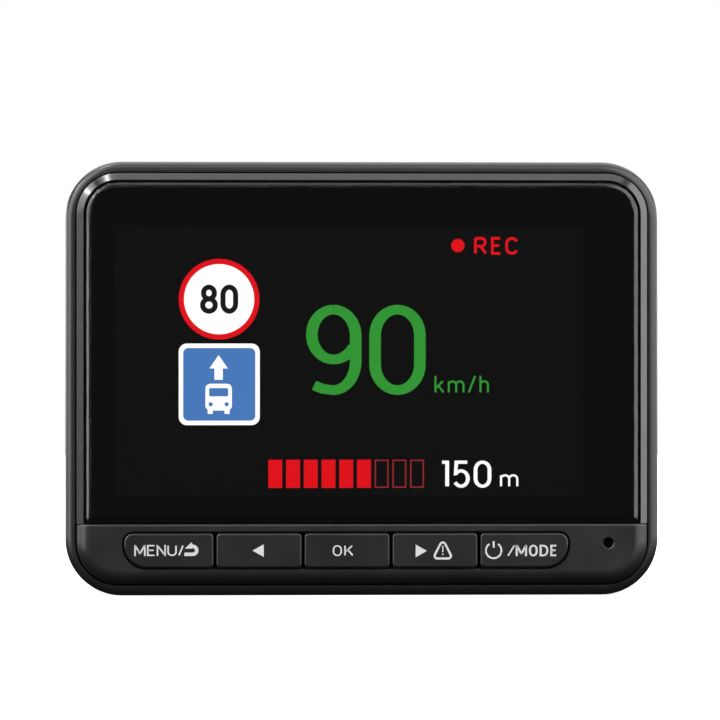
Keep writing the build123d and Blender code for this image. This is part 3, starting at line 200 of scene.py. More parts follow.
class Surface:
    # a material with one Principled shader, and short calls that add pattern nodes to it

    def __init__(self, name):
        self.material = bpy.data.materials.new(name)
        self.material.use_nodes = True
        self.tree = self.material.node_tree
        self.tree.nodes.clear()
        output = self.tree.nodes.new("ShaderNodeOutputMaterial")
        self.shader = self.tree.nodes.new("ShaderNodeBsdfPrincipled")
        self.tree.links.new(self.shader.outputs["BSDF"], output.inputs["Surface"])
        self.place = self.add("TexCoord", {}).outputs["Object"]

    def add(self, kind, inputs, **settings):
        node = self.tree.nodes.new("ShaderNode" + kind)
        for key, value in settings.items():
            setattr(node, key, value)
        for key, value in inputs.items():
            self.join(node.inputs[key], value)
        return node

    def join(self, socket, value):
        if isinstance(value, bpy.types.NodeSocket):
            self.tree.links.new(value, socket)
        else:
            socket.default_value = value

    def set(self, **values):
        # constants and patterns on the shader, with its socket names written as one word
        names = {socket.name.replace(" ", ""): socket for socket in self.shader.inputs}
        for key, value in values.items():
            self.join(names[key], value)
        return self

    def scaled(self, stretch=(1, 1, 1), turn=(0, 0, 0), start=(0, 0, 0)):
        inputs = {"Vector": self.place, "Scale": stretch, "Rotation": turn, "Location": start}
        return self.add("Mapping", inputs).outputs["Vector"]

    def noise(self, size, detail=2.0, stretch=(1, 1, 1), rough=0.5):
        # cloudy value about 0.5, with lumps of this size in metres
        inputs = {"Vector": self.scaled(stretch), "Scale": 1 / size, "Detail": detail, "Roughness": rough}
        return self.add("TexNoise", inputs).outputs["Fac"]

    def cells(self, size, feature="F1", output="Distance", distance="EUCLIDEAN", stretch=(1, 1, 1)):
        # distance from scattered points, or each point's own random colour
        inputs = {"Vector": self.scaled(stretch), "Scale": 1 / size}
        node = self.add("TexVoronoi", inputs, feature=feature, distance=distance)
        return node.outputs[output]

    def stripes(self, size, axis="X", turn=(0, 0, 0)):
        # smooth waves across one axis, one wave per size
        inputs = {"Vector": self.scaled(turn=turn), "Scale": math.pi / 10 / size, "Distortion": 0.0}
        return self.add("TexWave", inputs, bands_direction=axis).outputs["Fac"]

    def fit(self, value, low, high, toLow, toHigh):
        # value between low and high becomes toLow to toHigh, and is held there outside
        inputs = {"Value": value, "From Min": low, "From Max": high, "To Min": toLow, "To Max": toHigh}
        return self.add("MapRange", inputs, clamp=True).outputs["Result"]

    def spread(self, noise, toLow, toHigh):
        # the usual range of a noise, 0.3 to 0.7, becomes toLow to toHigh
        return self.fit(noise, 0.3, 0.7, toLow, toHigh)

    def sum(self, first, second, how="ADD"):
        return self.add("Math", {0: first, 1: second}, operation=how).outputs["Value"]

    def times(self, first, second):
        return self.sum(first, second, "MULTIPLY")

    def mix(self, factor, first, second):
        # colour first where factor is 0 and second where it is 1
        node = self.add("Mix", {0: factor}, data_type="RGBA")
        self.join(node.inputs[6], first)
        self.join(node.inputs[7], second)
        return node.outputs[2]

    def axis(self, name):
        return self.add("SeparateXYZ", {"Vector": self.place}).outputs[name]

    def relief(self, height, depth, strength=1.0):
        # the normal of a surface raised by height times depth in metres
        inputs = {"Height": height, "Distance": depth, "Strength": strength}
        return self.add("Bump", inputs).outputs["Normal"]


coarseShare = 0.33


def moulded(name, look):
    # colour is the base colour shaded by soft clouds; roughness wanders between its low and high values;
    # the relief is fine grain plus a part of a grain four times as coarse
    surface = Surface(name)
    cloud = surface.noise(look.get("cloud", 9.0) * mm, 3.0)
    dark = tone(*[value * (1 - look.get("shade", 0.08)) for value in look["colour"]])
    light = tone(*[value * (1 + look.get("shade", 0.08)) for value in look["colour"]])
    colour = surface.mix(surface.spread(cloud, 0, 1), dark, light)
    patch = surface.noise(look.get("patch", 3.0) * mm, 4.0)
    low, high = look["rough"]
    rough = surface.spread(patch, low, high)
    fine = surface.noise(look["grain"] * mm, 2.0)
    coarse = surface.noise(look["grain"] * 4 * mm, 1.0)
    height = surface.sum(fine, surface.times(coarse, coarseShare))
    normal = surface.relief(height, look["depth"] * mm, look.get("strength", 0.6))
    surface.set(BaseColor=colour, Roughness=rough, Normal=normal)
    return surface.set(**look.get("fixed", {}))


def metal(name, look):
    # metal with scratches drawn out along one axis: roughness is scratches times stains, and the
    # scratches alone are the relief
    surface = Surface(name)
    scratch = surface.noise(look["scratch"] * mm, 3.0, look.get("along", (1, 1, 12)))
    stain = surface.noise(look.get("cloud", 4.0) * mm, 4.0)
    dark = tone(*[value * (1 - look.get("shade", 0.10)) for value in look["colour"]])
    colour = surface.mix(surface.fit(stain, 0.35, 0.7, 0, 1), tone(*look["colour"]), dark)
    low, high = look["rough"]
    rough = surface.fit(surface.times(scratch, stain), 0.1, 0.4, low, high)
    normal = surface.relief(scratch, look["depth"] * mm, 0.5)
    surface.set(BaseColor=colour, Roughness=rough, Normal=normal, Metallic=1.0)
    return surface.set(**look.get("fixed", {}))


plastics = {
    "housingSatin": {"colour": (27, 27, 28), "rough": (0.29, 0.33), "grain": 0.16, "depth": 0.012,
                     "shade": 0.04, "cloud": 12.0, "patch": 0.8},
    "panelSatin": {"colour": (26, 26, 27), "rough": (0.31, 0.38), "grain": 0.12, "depth": 0.008,
                   "shade": 0.06, "cloud": 14.0},
    "keySatin": {"colour": (22, 22, 23), "rough": (0.31, 0.38), "grain": 0.11, "depth": 0.007,
                 "shade": 0.06, "cloud": 10.0},
    "socketSatin": {"colour": (24, 24, 25), "rough": (0.38, 0.50), "grain": 0.20, "depth": 0.015},
    "bezelGloss": {"colour": (16, 16, 17), "rough": (0.20, 0.26), "grain": 0.9, "depth": 0.0015,
                   "shade": 0.05, "cloud": 20.0, "strength": 0.4, "fixed": {"CoatWeight": 0.3,
                                                                            "CoatRoughness": 0.06}},
    "trimGloss": {"colour": (12, 12, 13), "rough": (0.08, 0.14), "grain": 1.1, "depth": 0.0015,
                  "shade": 0.05, "strength": 0.4, "fixed": {"CoatWeight": 0.5, "CoatRoughness": 0.05}},
    # painted light: a trace of glow lifts the black print bonded to clear plastic, which its face shared
    # with the window's back otherwise leaves unlit
    "maskInkPaintedGlow": {"colour": (30, 30, 30), "rough": (0.45, 0.55), "grain": 0.05, "depth": 0.002,
                "shade": 0.04, "fixed": {"EmissionColor": tone(250, 252, 255), "EmissionStrength": 0.0021}},
    "switchPlastic": {"colour": (212, 208, 196), "rough": (0.45, 0.60), "grain": 0.10, "depth": 0.006},
    "connectorNylon": {"colour": (225, 217, 196), "rough": (0.40, 0.55), "grain": 0.14, "depth": 0.008},
    "tongueNylon": {"colour": (18, 18, 19), "rough": (0.35, 0.50), "grain": 0.10, "depth": 0.006},
    "bootRubber": {"colour": (26, 26, 27), "rough": (0.72, 0.88), "grain": 0.08, "depth": 0.010},
    "padSilicone": {"colour": (122, 148, 168), "rough": (0.70, 0.85), "grain": 0.12, "depth": 0.020},
    "ferrite": {"colour": (58, 56, 54), "rough": (0.55, 0.75), "grain": 0.06, "depth": 0.020, "shade": 0.2},
    "lensPlastic": {"colour": (15, 15, 16), "rough": (0.50, 0.65), "grain": 0.07, "depth": 0.008},
    "cardPlastic": {"colour": (24, 24, 25), "rough": (0.30, 0.42), "grain": 0.09, "depth": 0.005},
    "patchCeramic": {"colour": (196, 178, 146), "rough": (0.55, 0.70), "grain": 0.10, "depth": 0.008},
}

metals = {
    "sheetSteel": {"colour": (176, 178, 180), "rough": (0.24, 0.42), "scratch": 0.10, "depth": 0.002},
    "portSteel": {"colour": (168, 170, 173), "rough": (0.18, 0.34), "scratch": 0.08, "depth": 0.002,
                  "along": (12, 1, 1)},
    "microphoneCan": {"colour": (44, 44, 45), "rough": (0.26, 0.40), "scratch": 0.06, "depth": 0.002},
    "bareAluminium": {"colour": (190, 192, 194), "rough": (0.34, 0.50), "scratch": 0.12, "depth": 0.004,
                      "along": (12, 1, 1)},
    "castZinc": {"colour": (150, 152, 155), "rough": (0.42, 0.60), "scratch": 0.25, "depth": 0.020,
                 "along": (1, 1, 1)},
    "silverPlate": {"colour": (205, 202, 194), "rough": (0.20, 0.36), "scratch": 0.08, "depth": 0.002},
    "magnetSteel": {"colour": (130, 131, 134), "rough": (0.28, 0.44), "scratch": 0.10, "depth": 0.003},
    "contactGold": {"colour": (214, 172, 92), "rough": (0.16, 0.30), "scratch": 0.06, "depth": 0.001},
    "screwSteel": {"colour": (62, 62, 66), "rough": (0.30, 0.46), "scratch": 0.07, "depth": 0.004,
                   "along": (1, 1, 1)},
    "lensMetal": {"colour": (34, 34, 36), "rough": (0.30, 0.44), "scratch": 0.05, "depth": 0.003,
                  "along": (1, 14, 1)},
    "cellFoil": {"colour": (176, 180, 186), "rough": (0.22, 0.40), "scratch": 0.6, "depth": 0.030,
                 "along": (1, 1, 1)},
}


def clearPlastic(name, look):
    # clear solid with a breath of haze that wanders over it, and a very slow waviness in the surface
    surface = Surface(name)
    haze = surface.noise(look["cloud"] * mm, 3.0)
    low, high = look["rough"]
    wave = surface.noise(look["wave"] * mm, 1.0)
    tint = surface.mix(haze, tone(*look["colour"]), tone(*look["deeper"]))
    surface.set(BaseColor=tint, Roughness=surface.spread(haze, low, high))
    surface.set(Normal=surface.relief(wave, look["depth"] * mm, 0.5))
    surface.set(TransmissionWeight=1.0, IOR=look["index"])
    return surface.set(**look.get("fixed", {}))


clears = {
    "windowAcrylic": {"colour": (252, 252, 252), "deeper": (247, 248, 248), "rough": (0.0, 0.015),
                      "cloud": 12.0, "wave": 18.0, "depth": 0.002, "index": 1.49},
    "coatedGlass": {"colour": (250, 251, 252), "deeper": (240, 246, 250), "rough": (0.0, 0.01),
                    "cloud": 3.0, "wave": 6.0, "depth": 0.0002, "index": 1.52,
                    "fixed": {"SpecularTint": tone(176, 150, 235)}},
    "filterGlass": {"colour": (206, 232, 240), "deeper": (190, 224, 236), "rough": (0.0, 0.01),
                    "cloud": 3.0, "wave": 6.0, "depth": 0.0002, "index": 1.52,
                    "fixed": {"SpecularTint": tone(150, 220, 190)}},
}


def displaySurface(name, look):
    # black display glass: inside the lit frame a faint glow with a fine grid, outside it plain black;
    # inside is a product of four ramps, one at each edge of the frame
    surface = Surface(name)
    across = surface.axis("X")
    up = surface.axis("Z")
    left, right, low, high = look["lit"]
    edge = look["edge"]
    insideX = surface.times(surface.fit(across, left, left + edge, 0, 1),
                            surface.fit(across, right - edge, right, 1, 0))
    insideZ = surface.times(surface.fit(up, low, low + edge, 0, 1),
                            surface.fit(up, high - edge, high, 1, 0))
    inside = surface.times(insideX, insideZ)
    grid = surface.times(surface.stripes(look["pitch"], "X"), surface.stripes(look["pitch"], "Z"))
    leak = surface.spread(surface.noise(look["cloud"] * mm, 2.0), 0.9, 1.1)
    glow = surface.times(surface.times(inside, leak), surface.fit(grid, 0, 1, 0.9, 1.1))
    smear = surface.noise(look["smear"] * mm, 3.0)
    surface.set(BaseColor=surface.mix(inside, tone(*look["border"]), tone(*look["dark"])))
    surface.set(Roughness=surface.spread(smear, *look["rough"]), SpecularIORLevel=look["sheen"])
    surface.set(EmissionColor=tone(*look["glow"]))
    return surface.set(EmissionStrength=surface.times(glow, look["strength"]))


def litSurface(name, look):
    # light of one colour, a little uneven as a backlight is, crossed by the display's fine grid
    surface = Surface(name)
    grid = surface.times(surface.stripes(look["pitch"], "X"), surface.stripes(look["pitch"], "Z"))
    leak = surface.spread(surface.noise(look["cloud"] * mm, 2.0), 0.985, 1.015)
    level = surface.times(leak, surface.fit(grid, 0, 1, 0.99, 1.01))
    surface.set(BaseColor=(0, 0, 0, 1), Roughness=0.4, SpecularIORLevel=0.0)
    surface.set(EmissionColor=tone(*look["colour"]))
    return surface.set(EmissionStrength=surface.times(level, look["strength"]))


def boardSurface(name, look):
    # solder mask over copper: fine tracks run up the board in some cells of a square pattern and
    # across it in the others, with round vias scattered over them
    surface = Surface(name)
    cellTone = surface.cells(look["cell"] * mm, output="Color", distance="CHEBYCHEV")
    pick = surface.add("SeparateColor", {"Color": cellTone}).outputs[0]
    upTracks = surface.fit(surface.stripes(look["track"] * mm, "X"), 0.62, 0.70, 0, 1)
    acrossTracks = surface.fit(surface.stripes(look["track"] * mm, "Z"), 0.62, 0.70, 0, 1)
    upwards = surface.fit(pick, 0.45, 0.46, 0, 1)
    quiet = surface.fit(pick, 0.80, 0.81, 1, 0)
    tracks = surface.add("Mix", {0: upwards, 2: acrossTracks, 3: upTracks}, data_type="FLOAT").outputs[0]
    tracks = surface.times(tracks, quiet)
    vias = surface.fit(surface.cells(look["via"] * mm), 0.10, 0.13, 1, 0)
    copper = surface.mix(tracks, tone(*look["colour"]), tone(*look["over"]))
    colour = surface.mix(vias, copper, tone(*look["pad"]))
    weave = surface.noise(look["weave"] * mm, 2.0)
    height = surface.sum(tracks, surface.times(weave, 0.4))
    surface.set(BaseColor=colour, Normal=surface.relief(height, 0.02 * mm, 0.5))
    surface.set(Roughness=surface.spread(weave, 0.24, 0.36), Metallic=surface.fit(vias, 0, 1, 0, 0.8))
    return surface


def chipSurface(name, look):
    # moulded epoxy or ink: a fine sandy face, with its colour wandering between two tones
    surface = Surface(name)
    sand = surface.noise(0.05 * mm, 3.0)
    cloud = surface.noise(2.5 * mm, 2.0)
    colour = surface.mix(surface.spread(cloud, 0, 1), tone(*look["colour"]), tone(*look["paler"]))
    surface.set(BaseColor=colour, Roughness=surface.spread(sand, *look["rough"]))
    return surface.set(Normal=surface.relief(sand, 0.01 * mm, 0.5))


def bandedSurface(name, look):
    # two colours in bands along one axis, with a soft noisy edge between them
    surface = Surface(name)
    bands = surface.stripes(look["band"] * mm, look["axis"])
    ragged = surface.sum(bands, surface.fit(surface.noise(0.5 * mm), 0, 1, -0.05, 0.05))
    factor = surface.fit(ragged, 0.48, 0.52, 0, 1)
    fine = surface.noise(look["grain"] * mm, 3.0)
    surface.set(BaseColor=surface.mix(factor, tone(*look["colour"]), tone(*look["other"])))
    surface.set(Roughness=surface.spread(fine, *look["rough"]))
    surface.set(Normal=surface.relief(fine, look["depth"] * mm, 0.5))
    return surface.set(**look.get("fixed", {}))


def foamSurface(name, look):
    # open cells: pits where the scattered points are near, with painted shade darkening their bottoms
    surface = Surface(name)
    pits = surface.cells(look["cell"] * mm)
    depth = surface.fit(pits, 0.1, 0.6, 0, 1)
    # painted shade: colour runs from the pit tone at a cell's bottom to the foam's own tone at its rim
    surface.set(BaseColor=surface.mix(depth, tone(*look["pit"]), tone(*look["colour"])))
    surface.set(Roughness=surface.fit(depth, 0, 1, 0.95, 0.85))
    return surface.set(Normal=surface.relief(depth, 0.08 * mm))


def coneSurface(name, look):
    # pulp film with rings round its own middle and fine fibres
    surface = Surface(name)
    x, z = look["middle"]
    local = surface.scaled(start=(-x, 0, -z))
    radius = surface.add("VectorMath", {0: local}, operation="LENGTH").outputs["Value"]
    wave = surface.add("Math", {0: radius, 1: 2 * math.pi / (look["ring"] * mm)}, operation="MULTIPLY")
    rings = surface.add("Math", {0: wave.outputs[0]}, operation="SINE").outputs[0]
    fibre = surface.noise(0.10 * mm, 3.0, (1, 1, 4))
    height = surface.sum(surface.times(rings, 0.5), fibre)
    surface.set(BaseColor=surface.mix(fibre, tone(*look["colour"]), tone(*look["paler"])))
    surface.set(Roughness=surface.spread(fibre, 0.6, 0.8))
    return surface.set(Normal=surface.relief(height, 0.03 * mm, 0.7))


coneMiddle = (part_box("speaker_cone")[0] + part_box("speaker_cone")[1]) / 2
panelLow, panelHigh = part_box("lcd_panel")
litMargin = {"side": 1.5 * mm, "bottom": 2.1 * mm, "top": 1.2 * mm}      # dark edge of the display's glass
litFrame = (panelLow.x + litMargin["side"], panelHigh.x - litMargin["side"],
            panelLow.z + litMargin["bottom"], panelHigh.z - litMargin["top"])
print("lit frame", [round(value / mm, 2) for value in litFrame])

finishes = {name: moulded(name, look) for name, look in plastics.items()}
finishes.update({name: metal(name, look) for name, look in metals.items()})
finishes.update({name: clearPlastic(name, look) for name, look in clears.items()})
finishes["displayGlass"] = displaySurface("displayGlass", {
    "lit": litFrame, "edge": 0.1 * mm, "pitch": 0.15 * mm, "cloud": 25.0, "smear": 4.0,
    "rough": (0.10, 0.18), "glow": (17, 22, 21), "strength": 0.05, "sheen": 0.02,
    "border": (10, 10, 11), "dark": (3, 3, 3)})
finishes["boardGreen"] = boardSurface("boardGreen", {
    "colour": (18, 62, 40), "over": (30, 92, 58), "pad": (196, 168, 104), "cell": 4.0, "track": 0.45,
    "via": 1.6, "weave": 0.25})
finishes["boardBlack"] = boardSurface("boardBlack", {
    "colour": (16, 20, 24), "over": (36, 42, 48), "pad": (196, 168, 104), "cell": 3.0, "track": 0.40,
    "via": 1.3, "weave": 0.25})
finishes["chipEpoxy"] = chipSurface("chipEpoxy", {
    "colour": (24, 24, 26), "paler": (40, 40, 42), "rough": (0.5, 0.7)})
finishes["capacitorCeramic"] = bandedSurface("capacitorCeramic", {
    "colour": (164, 132, 92), "other": (206, 204, 198), "band": 1.1, "axis": "X", "grain": 0.06,
    "depth": 0.004, "rough": (0.4, 0.6)})
finishes["ribbonFilm"] = bandedSurface("ribbonFilm", {
    "colour": (176, 108, 34), "other": (198, 132, 52), "band": 0.5, "axis": "X", "grain": 0.3,
    "depth": 0.003, "rough": (0.28, 0.42), "fixed": {"CoatWeight": 0.4}})
finishes["backlightWhite"] = bandedSurface("backlightWhite", {
    "colour": (232, 234, 236), "other": (224, 227, 230), "band": 1.0, "axis": "Z", "grain": 0.2,
    "depth": 0.002, "rough": (0.35, 0.5)})
finishes["leadInsulation"] = bandedSurface("leadInsulation", {
    "colour": (168, 22, 20), "other": (26, 26, 28), "band": 2.4, "axis": "Y", "grain": 0.12,
    "depth": 0.005, "rough": (0.35, 0.5)})
finishes["sensorGlass"] = bandedSurface("sensorGlass", {
    "colour": (60, 84, 96), "other": (84, 62, 104), "band": 0.22, "axis": "X", "grain": 0.05,
    "depth": 0.001, "rough": (0.05, 0.12), "fixed": {"CoatWeight": 0.8, "CoatRoughness": 0.02}})
finishes["openFoam"] = foamSurface("openFoam", {"colour": (50, 50, 52), "pit": (14, 14, 15), "cell": 0.35})
finishes["conePulp"] = coneSurface("conePulp", {
    "middle": (coneMiddle.x, coneMiddle.z), "ring": 0.8, "colour": (30, 29, 28), "paler": (52, 50, 48)})

nodeFinish = {
    "housingSatin": ["rear_housing"],
    "bezelGloss": ["front_bezel"],
    "windowAcrylic": ["screen_window"],
    # the window print's material carries painted light, a faint glow on the ink
    "maskInkPaintedGlow": ["window_mask"],
    "panelSatin": ["button_panel"],
    "socketSatin": ["mount_socket"],
    "keySatin": ["menu_key", "left_key", "ok_key", "right_key", "power_key"],
    "switchPlastic": ["key_switches", "menu_switch_plunger", "left_switch_plunger", "ok_switch_plunger",
                      "right_switch_plunger", "power_switch_plunger"],
    "sheetSteel": ["key_switch_covers", "lcd_frame", "radar_shield", "speaker_frame"],
    "portSteel": ["usb_socket", "card_socket"],
    "microphoneCan": ["microphone"],
    "bootRubber": ["microphone_boot"],
    "displayGlass": ["lcd_panel"],
    "backlightWhite": ["lcd_backlight"],
    "ribbonFilm": ["lcd_ribbon"],
    "openFoam": ["foam_strips"],
    "boardGreen": ["main_board", "radar_board"],
    "boardBlack": ["camera_board", "antenna_board"],
    "chipEpoxy": ["board_chips"],
    "connectorNylon": ["board_connectors"],
    "tongueNylon": ["usb_tongue"],
    "ferrite": ["power_coils"],
    "capacitorCeramic": ["board_capacitors"],
    "padSilicone": ["thermal_pad"],
    "bareAluminium": ["heat_sink"],
    "cellFoil": ["backup_battery"],
    "sensorGlass": ["image_sensor"],
    "lensPlastic": ["lens_holder"],
    "lensMetal": ["lens_barrel", "lens_spacer"],
    "coatedGlass": ["front_glass"],
    "filterGlass": ["inner_glasses"],
    "trimGloss": ["lens_trim_ring", "radar_cover"],
    "castZinc": ["horn_antenna"],
    "patchCeramic": ["antenna_patch"],
    "silverPlate": ["antenna_plate"],
    "magnetSteel": ["speaker_magnet"],
    "conePulp": ["speaker_cone"],
    "cardPlastic": ["memory_card"],
    "contactGold": ["mount_contacts"],
    "screwSteel": ["housing_screws", "board_screws"],
    "leadInsulation": ["internal_leads"],
}

finished = set()
for finishName, members in nodeFinish.items():
    for member in members:
        for materialSlot in nodes[member].material_slots:
            materialSlot.material = finishes[finishName].material
        finished.add(member)
print("nodes without a finish:", sorted(set(nodes) - finished))


def pathOf(points):
    # corner points of a path, as an array with a row for each
    return np.array(points, float)


def arc(middle, radii, start, end, count=20):
    # points round an ellipse between two angles in degrees, anticlockwise when end is larger
    angles = np.radians(np.linspace(start, end, count))
    return np.column_stack((middle[0] + radii[0] * np.cos(angles), middle[1] + radii[1] * np.sin(angles)))


def chain(*parts):
    # several runs of points joined end to end, with repeated points left out
    points = np.vstack(parts)
    step = np.linalg.norm(np.diff(points, axis=0), axis=1)
    return points[np.concatenate(([True], step > 1e-6))]


def racetrack(flat=0.36):
    # a closed tall oval: half an ellipse above and below two straight sides
    lift = (1 - flat) / 2
    return chain(arc((0.5, 1 - lift), (0.5, lift), 0, 180), arc((0.5, lift), (0.5, lift), 180, 360))


# each letter is a list of (closed, points), as the middle line of its stroke in a box one wide and one high
letters = {
    "0": [(True, racetrack(0.36))],
    "O": [(True, racetrack(0.20))],
    "1": [(False, pathOf([(0.0, 1.0), (1.0, 1.0), (1.0, 0.0)]))],
    "5": [(False, chain(pathOf([(0.95, 1.0), (0.12, 1.0), (0.05, 0.52)]),
                        arc((0.48, 0.32), (0.52, 0.32), 140, -150)))],
    "8": [(True, arc((0.5, 0.755), (0.43, 0.245), 0, 342, 20)),
          (True, arc((0.5, 0.255), (0.50, 0.255), 0, 342, 20))],
    "9": [(False, chain(arc((0.49, 0.69), (0.49, 0.31), 90, 270),
                        arc((0.49, 0.74), (0.56, 0.36), 270, 325, 8))),
          (False, chain(arc((0.49, 0.67), (0.51, 0.33), 90, 0), arc((0.49, 0.36), (0.51, 0.36), 0, -90),
                        pathOf([(0.25, 0.015), (0.05, 0.06)])))],
    "k": [(False, pathOf([(0.0, 0.0), (0.0, 1.0)])), (False, pathOf([(0.92, 0.68), (0.06, 0.26)])),
          (False, pathOf([(0.34, 0.42), (1.0, 0.0)]))],
    "m": [(False, pathOf([(0.0, 0.0), (0.0, 1.0)])),
          (False, chain(arc((0.25, 0.66), (0.25, 0.34), 150, 0, 12), pathOf([(0.5, 0.0)]))),
          (False, chain(arc((0.75, 0.66), (0.25, 0.34), 150, 0, 12), pathOf([(1.0, 0.0)])))],
    "h": [(False, pathOf([(0.0, 0.0), (0.0, 1.0)])),
          (False, chain(arc((0.5, 0.44), (0.5, 0.24), 150, 0, 12), pathOf([(1.0, 0.0)])))],
    "/": [(False, pathOf([(0.0, 0.0), (1.0, 1.0)]))],
    "R": [(False, pathOf([(0.0, 0.0), (0.0, 1.0)])),
          (False, chain(pathOf([(0.0, 1.0)]), arc((0.6, 0.74), (0.34, 0.26), 90, -90, 16),
                        pathOf([(0.0, 0.48)]))),
          (False, pathOf([(0.5, 0.48), (1.0, 0.0)]))],
    "E": [(False, pathOf([(1.0, 1.0), (0.0, 1.0), (0.0, 0.0), (1.0, 0.0)])),
          (False, pathOf([(0.0, 0.52), (0.86, 0.52)]))],
    "C": [(False, chain(arc((0.5, 0.66), (0.5, 0.34), 25, 180), arc((0.5, 0.34), (0.5, 0.34), 180, 335)))],
    "M": [(False, pathOf([(0.0, -0.07), (0.0, 1.07)])), (False, pathOf([(1.0, -0.07), (1.0, 1.07)])),
          (False, pathOf([(0.02, 1.02), (0.5, 0.16)])), (False, pathOf([(0.98, 1.02), (0.5, 0.16)]))],
    "N": [(False, pathOf([(0.0, -0.07), (0.0, 1.07)])), (False, pathOf([(1.0, -0.07), (1.0, 1.07)])),
          (False, pathOf([(0.02, 1.0), (0.98, 0.0)]))],
    "U": [(False, chain(pathOf([(0.0, 1.0)]), arc((0.5, 0.34), (0.5, 0.34), 180, 360),
                        pathOf([(1.0, 1.0)])))],
    "K": [(False, pathOf([(0.0, 0.0), (0.0, 1.0)])), (False, pathOf([(0.92, 1.0), (0.04, 0.38)])),
          (False, pathOf([(0.34, 0.60), (1.0, 0.0)]))],
    "D": [(False, chain(pathOf([(0.4, 0.0), (0.0, 0.0), (0.0, 1.0), (0.4, 1.0)]),
                        arc((0.4, 0.5), (0.6, 0.5), 90, -90)))],
}
smallLetter = 0.70      # height of a small letter beside tall ones
mitreLimit = 0.70       # how sharp a corner may be before its mitre is cut short
letterWidths = {"1": 0.5, "m": 1.5, "M": 1.3, "N": 1.05, "k": 0.9, "h": 0.85, "/": 0.75, "E": 0.8, "5": 0.95}


def ribbon(points, closed, width, front, back):
    # a bar with a square section carried along a flat path: at each point the two sides stand half a
    # width off along the mitre, and the front and back faces lie at two depths; two widths are those of
    # upright and of level strokes
    before = np.roll(points, 1, axis=0)
    after = np.roll(points, -1, axis=0)
    arrive = points - before
    leave = after - points
    if not closed:
        arrive[0] = leave[0]
        leave[-1] = arrive[-1]
    arrive = arrive / np.linalg.norm(arrive, axis=1)[:, None]
    leave = leave / np.linalg.norm(leave, axis=1)[:, None]
    middle = arrive + leave
    middle = middle / np.maximum(np.linalg.norm(middle, axis=1), 1e-6)[:, None]
    side = np.column_stack((-middle[:, 1], middle[:, 0]))
    stretch = 1 / np.maximum(np.sum(middle * leave, axis=1), mitreLimit)
    offset = side * stretch[:, None] * np.broadcast_to(width, 2) / 2
    left, right = points + offset, points - offset
    count = len(points)
    rings = np.stack((
        np.column_stack((left[:, 0], np.full(count, front), left[:, 1])),
        np.column_stack((right[:, 0], np.full(count, front), right[:, 1])),
        np.column_stack((right[:, 0], np.full(count, back), right[:, 1])),
        np.column_stack((left[:, 0], np.full(count, back), left[:, 1])),
    ), axis=1)
    here = np.arange(count if closed else count - 1)
    then = (here + 1) % count
    corner = np.arange(4)
    following = (corner + 1) % 4
    faces = np.stack((
        here[:, None] * 4 + following, here[:, None] * 4 + corner,
        then[:, None] * 4 + corner, then[:, None] * 4 + following,
    ), axis=2).reshape(-1, 4)
    if not closed:
        last = (count - 1) * 4
        ends = np.array([(0, 1, 2, 3), (last + 3, last + 2, last + 1, last)])
        faces = np.vstack((faces, ends))
    return rings.reshape(-1, 3), faces.tolist()


def plate(outline, front, back):
    # a flat outline, anticlockwise from the driver's side, as a thin closed slab between two depths
    count = len(outline)
    nearSide = np.column_stack((outline[:, 0], np.full(count, front), outline[:, 1]))
    farSide = np.column_stack((outline[:, 0], np.full(count, back), outline[:, 1]))
    here = np.arange(count)
    then = (here + 1) % count
    walls = np.column_stack((then, here, here + count, then + count))
    faces = [here.tolist(), (here[::-1] + count).tolist()] + walls.tolist()
    return np.vstack((nearSide, farSide)), faces


def write(text, box, stroke, front, back, gap=0.30, usual=letterWidths):
    # letters set side by side to fill a box left, right, low, high; widths are in parts of one letter
    left, right, low, high = box
    stroke = np.broadcast_to(stroke, 2)
    widths = np.array([usual.get(letter, 1.0) for letter in text])
    unit = (right - left) / (widths.sum() + gap * (len(text) - 1))
    starts = left + unit * (np.concatenate(([0], np.cumsum(widths[:-1] + gap))))
    shapes = []
    for letter, start, width in zip(text, starts, widths * unit):
        rise = high
        if letter == "m":
            rise = low + (high - low) * (1.0 if text == "m" else smallLetter)
        for closed, points in letters[letter]:
            spread = np.array((width, rise - low)) - stroke
            placed = points * spread + (start, low) + stroke / 2
            shapes.append(ribbon(placed, closed, stroke, front, back))
    return shapes


def disc(middle, radius, front, back, count=64):
    # a round slab, its outline an even ring of points
    return plate(arc(middle, (radius, radius), 0, 360 - 360 / count, count), front, back)


def roundedBox(box, radius, front, back):
    # a slab with four quarter circles for corners
    left, right, low, high = box
    corners = [((right - radius, low + radius), 270), ((right - radius, high - radius), 0),
               ((left + radius, high - radius), 90), ((left + radius, low + radius), 180)]
    outline = chain(*[arc(middle, (radius, radius), start, start + 90, 8) for middle, start in corners])
    return plate(outline, front, back)


def frameOutline(box, width, front, back):
    # an empty frame: a bar carried round a box, half its width inside the edge
    left, right, low, high = box
    inset = width / 2
    points = pathOf([(left + inset, low + inset), (right - inset, low + inset),
                     (right - inset, high - inset), (left + inset, high - inset)])
    return ribbon(points, True, width, front, back)


def piece(name, shapes, surface, body, across=0.0):
    # one mesh from several closed shapes given in millimetres, moved across, riding on a body
    starts = np.concatenate(([0], np.cumsum([len(points) for points, _ in shapes])))[:-1]
    points = (np.vstack([points for points, _ in shapes]) + (across, 0, 0)) * mm
    faces = [[int(index + start) for index in face] for start, (_, group) in zip(starts, shapes)
             for face in group]
    mesh = bpy.data.meshes.new(name)
    mesh.from_pydata(points.tolist(), [], faces)
    mesh.validate()
    mesh.update()
    mesh.materials.append(surface.material)
    made = bpy.data.objects.new(name, mesh)
    scene.collection.objects.link(made)
    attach(made, body)
    return made


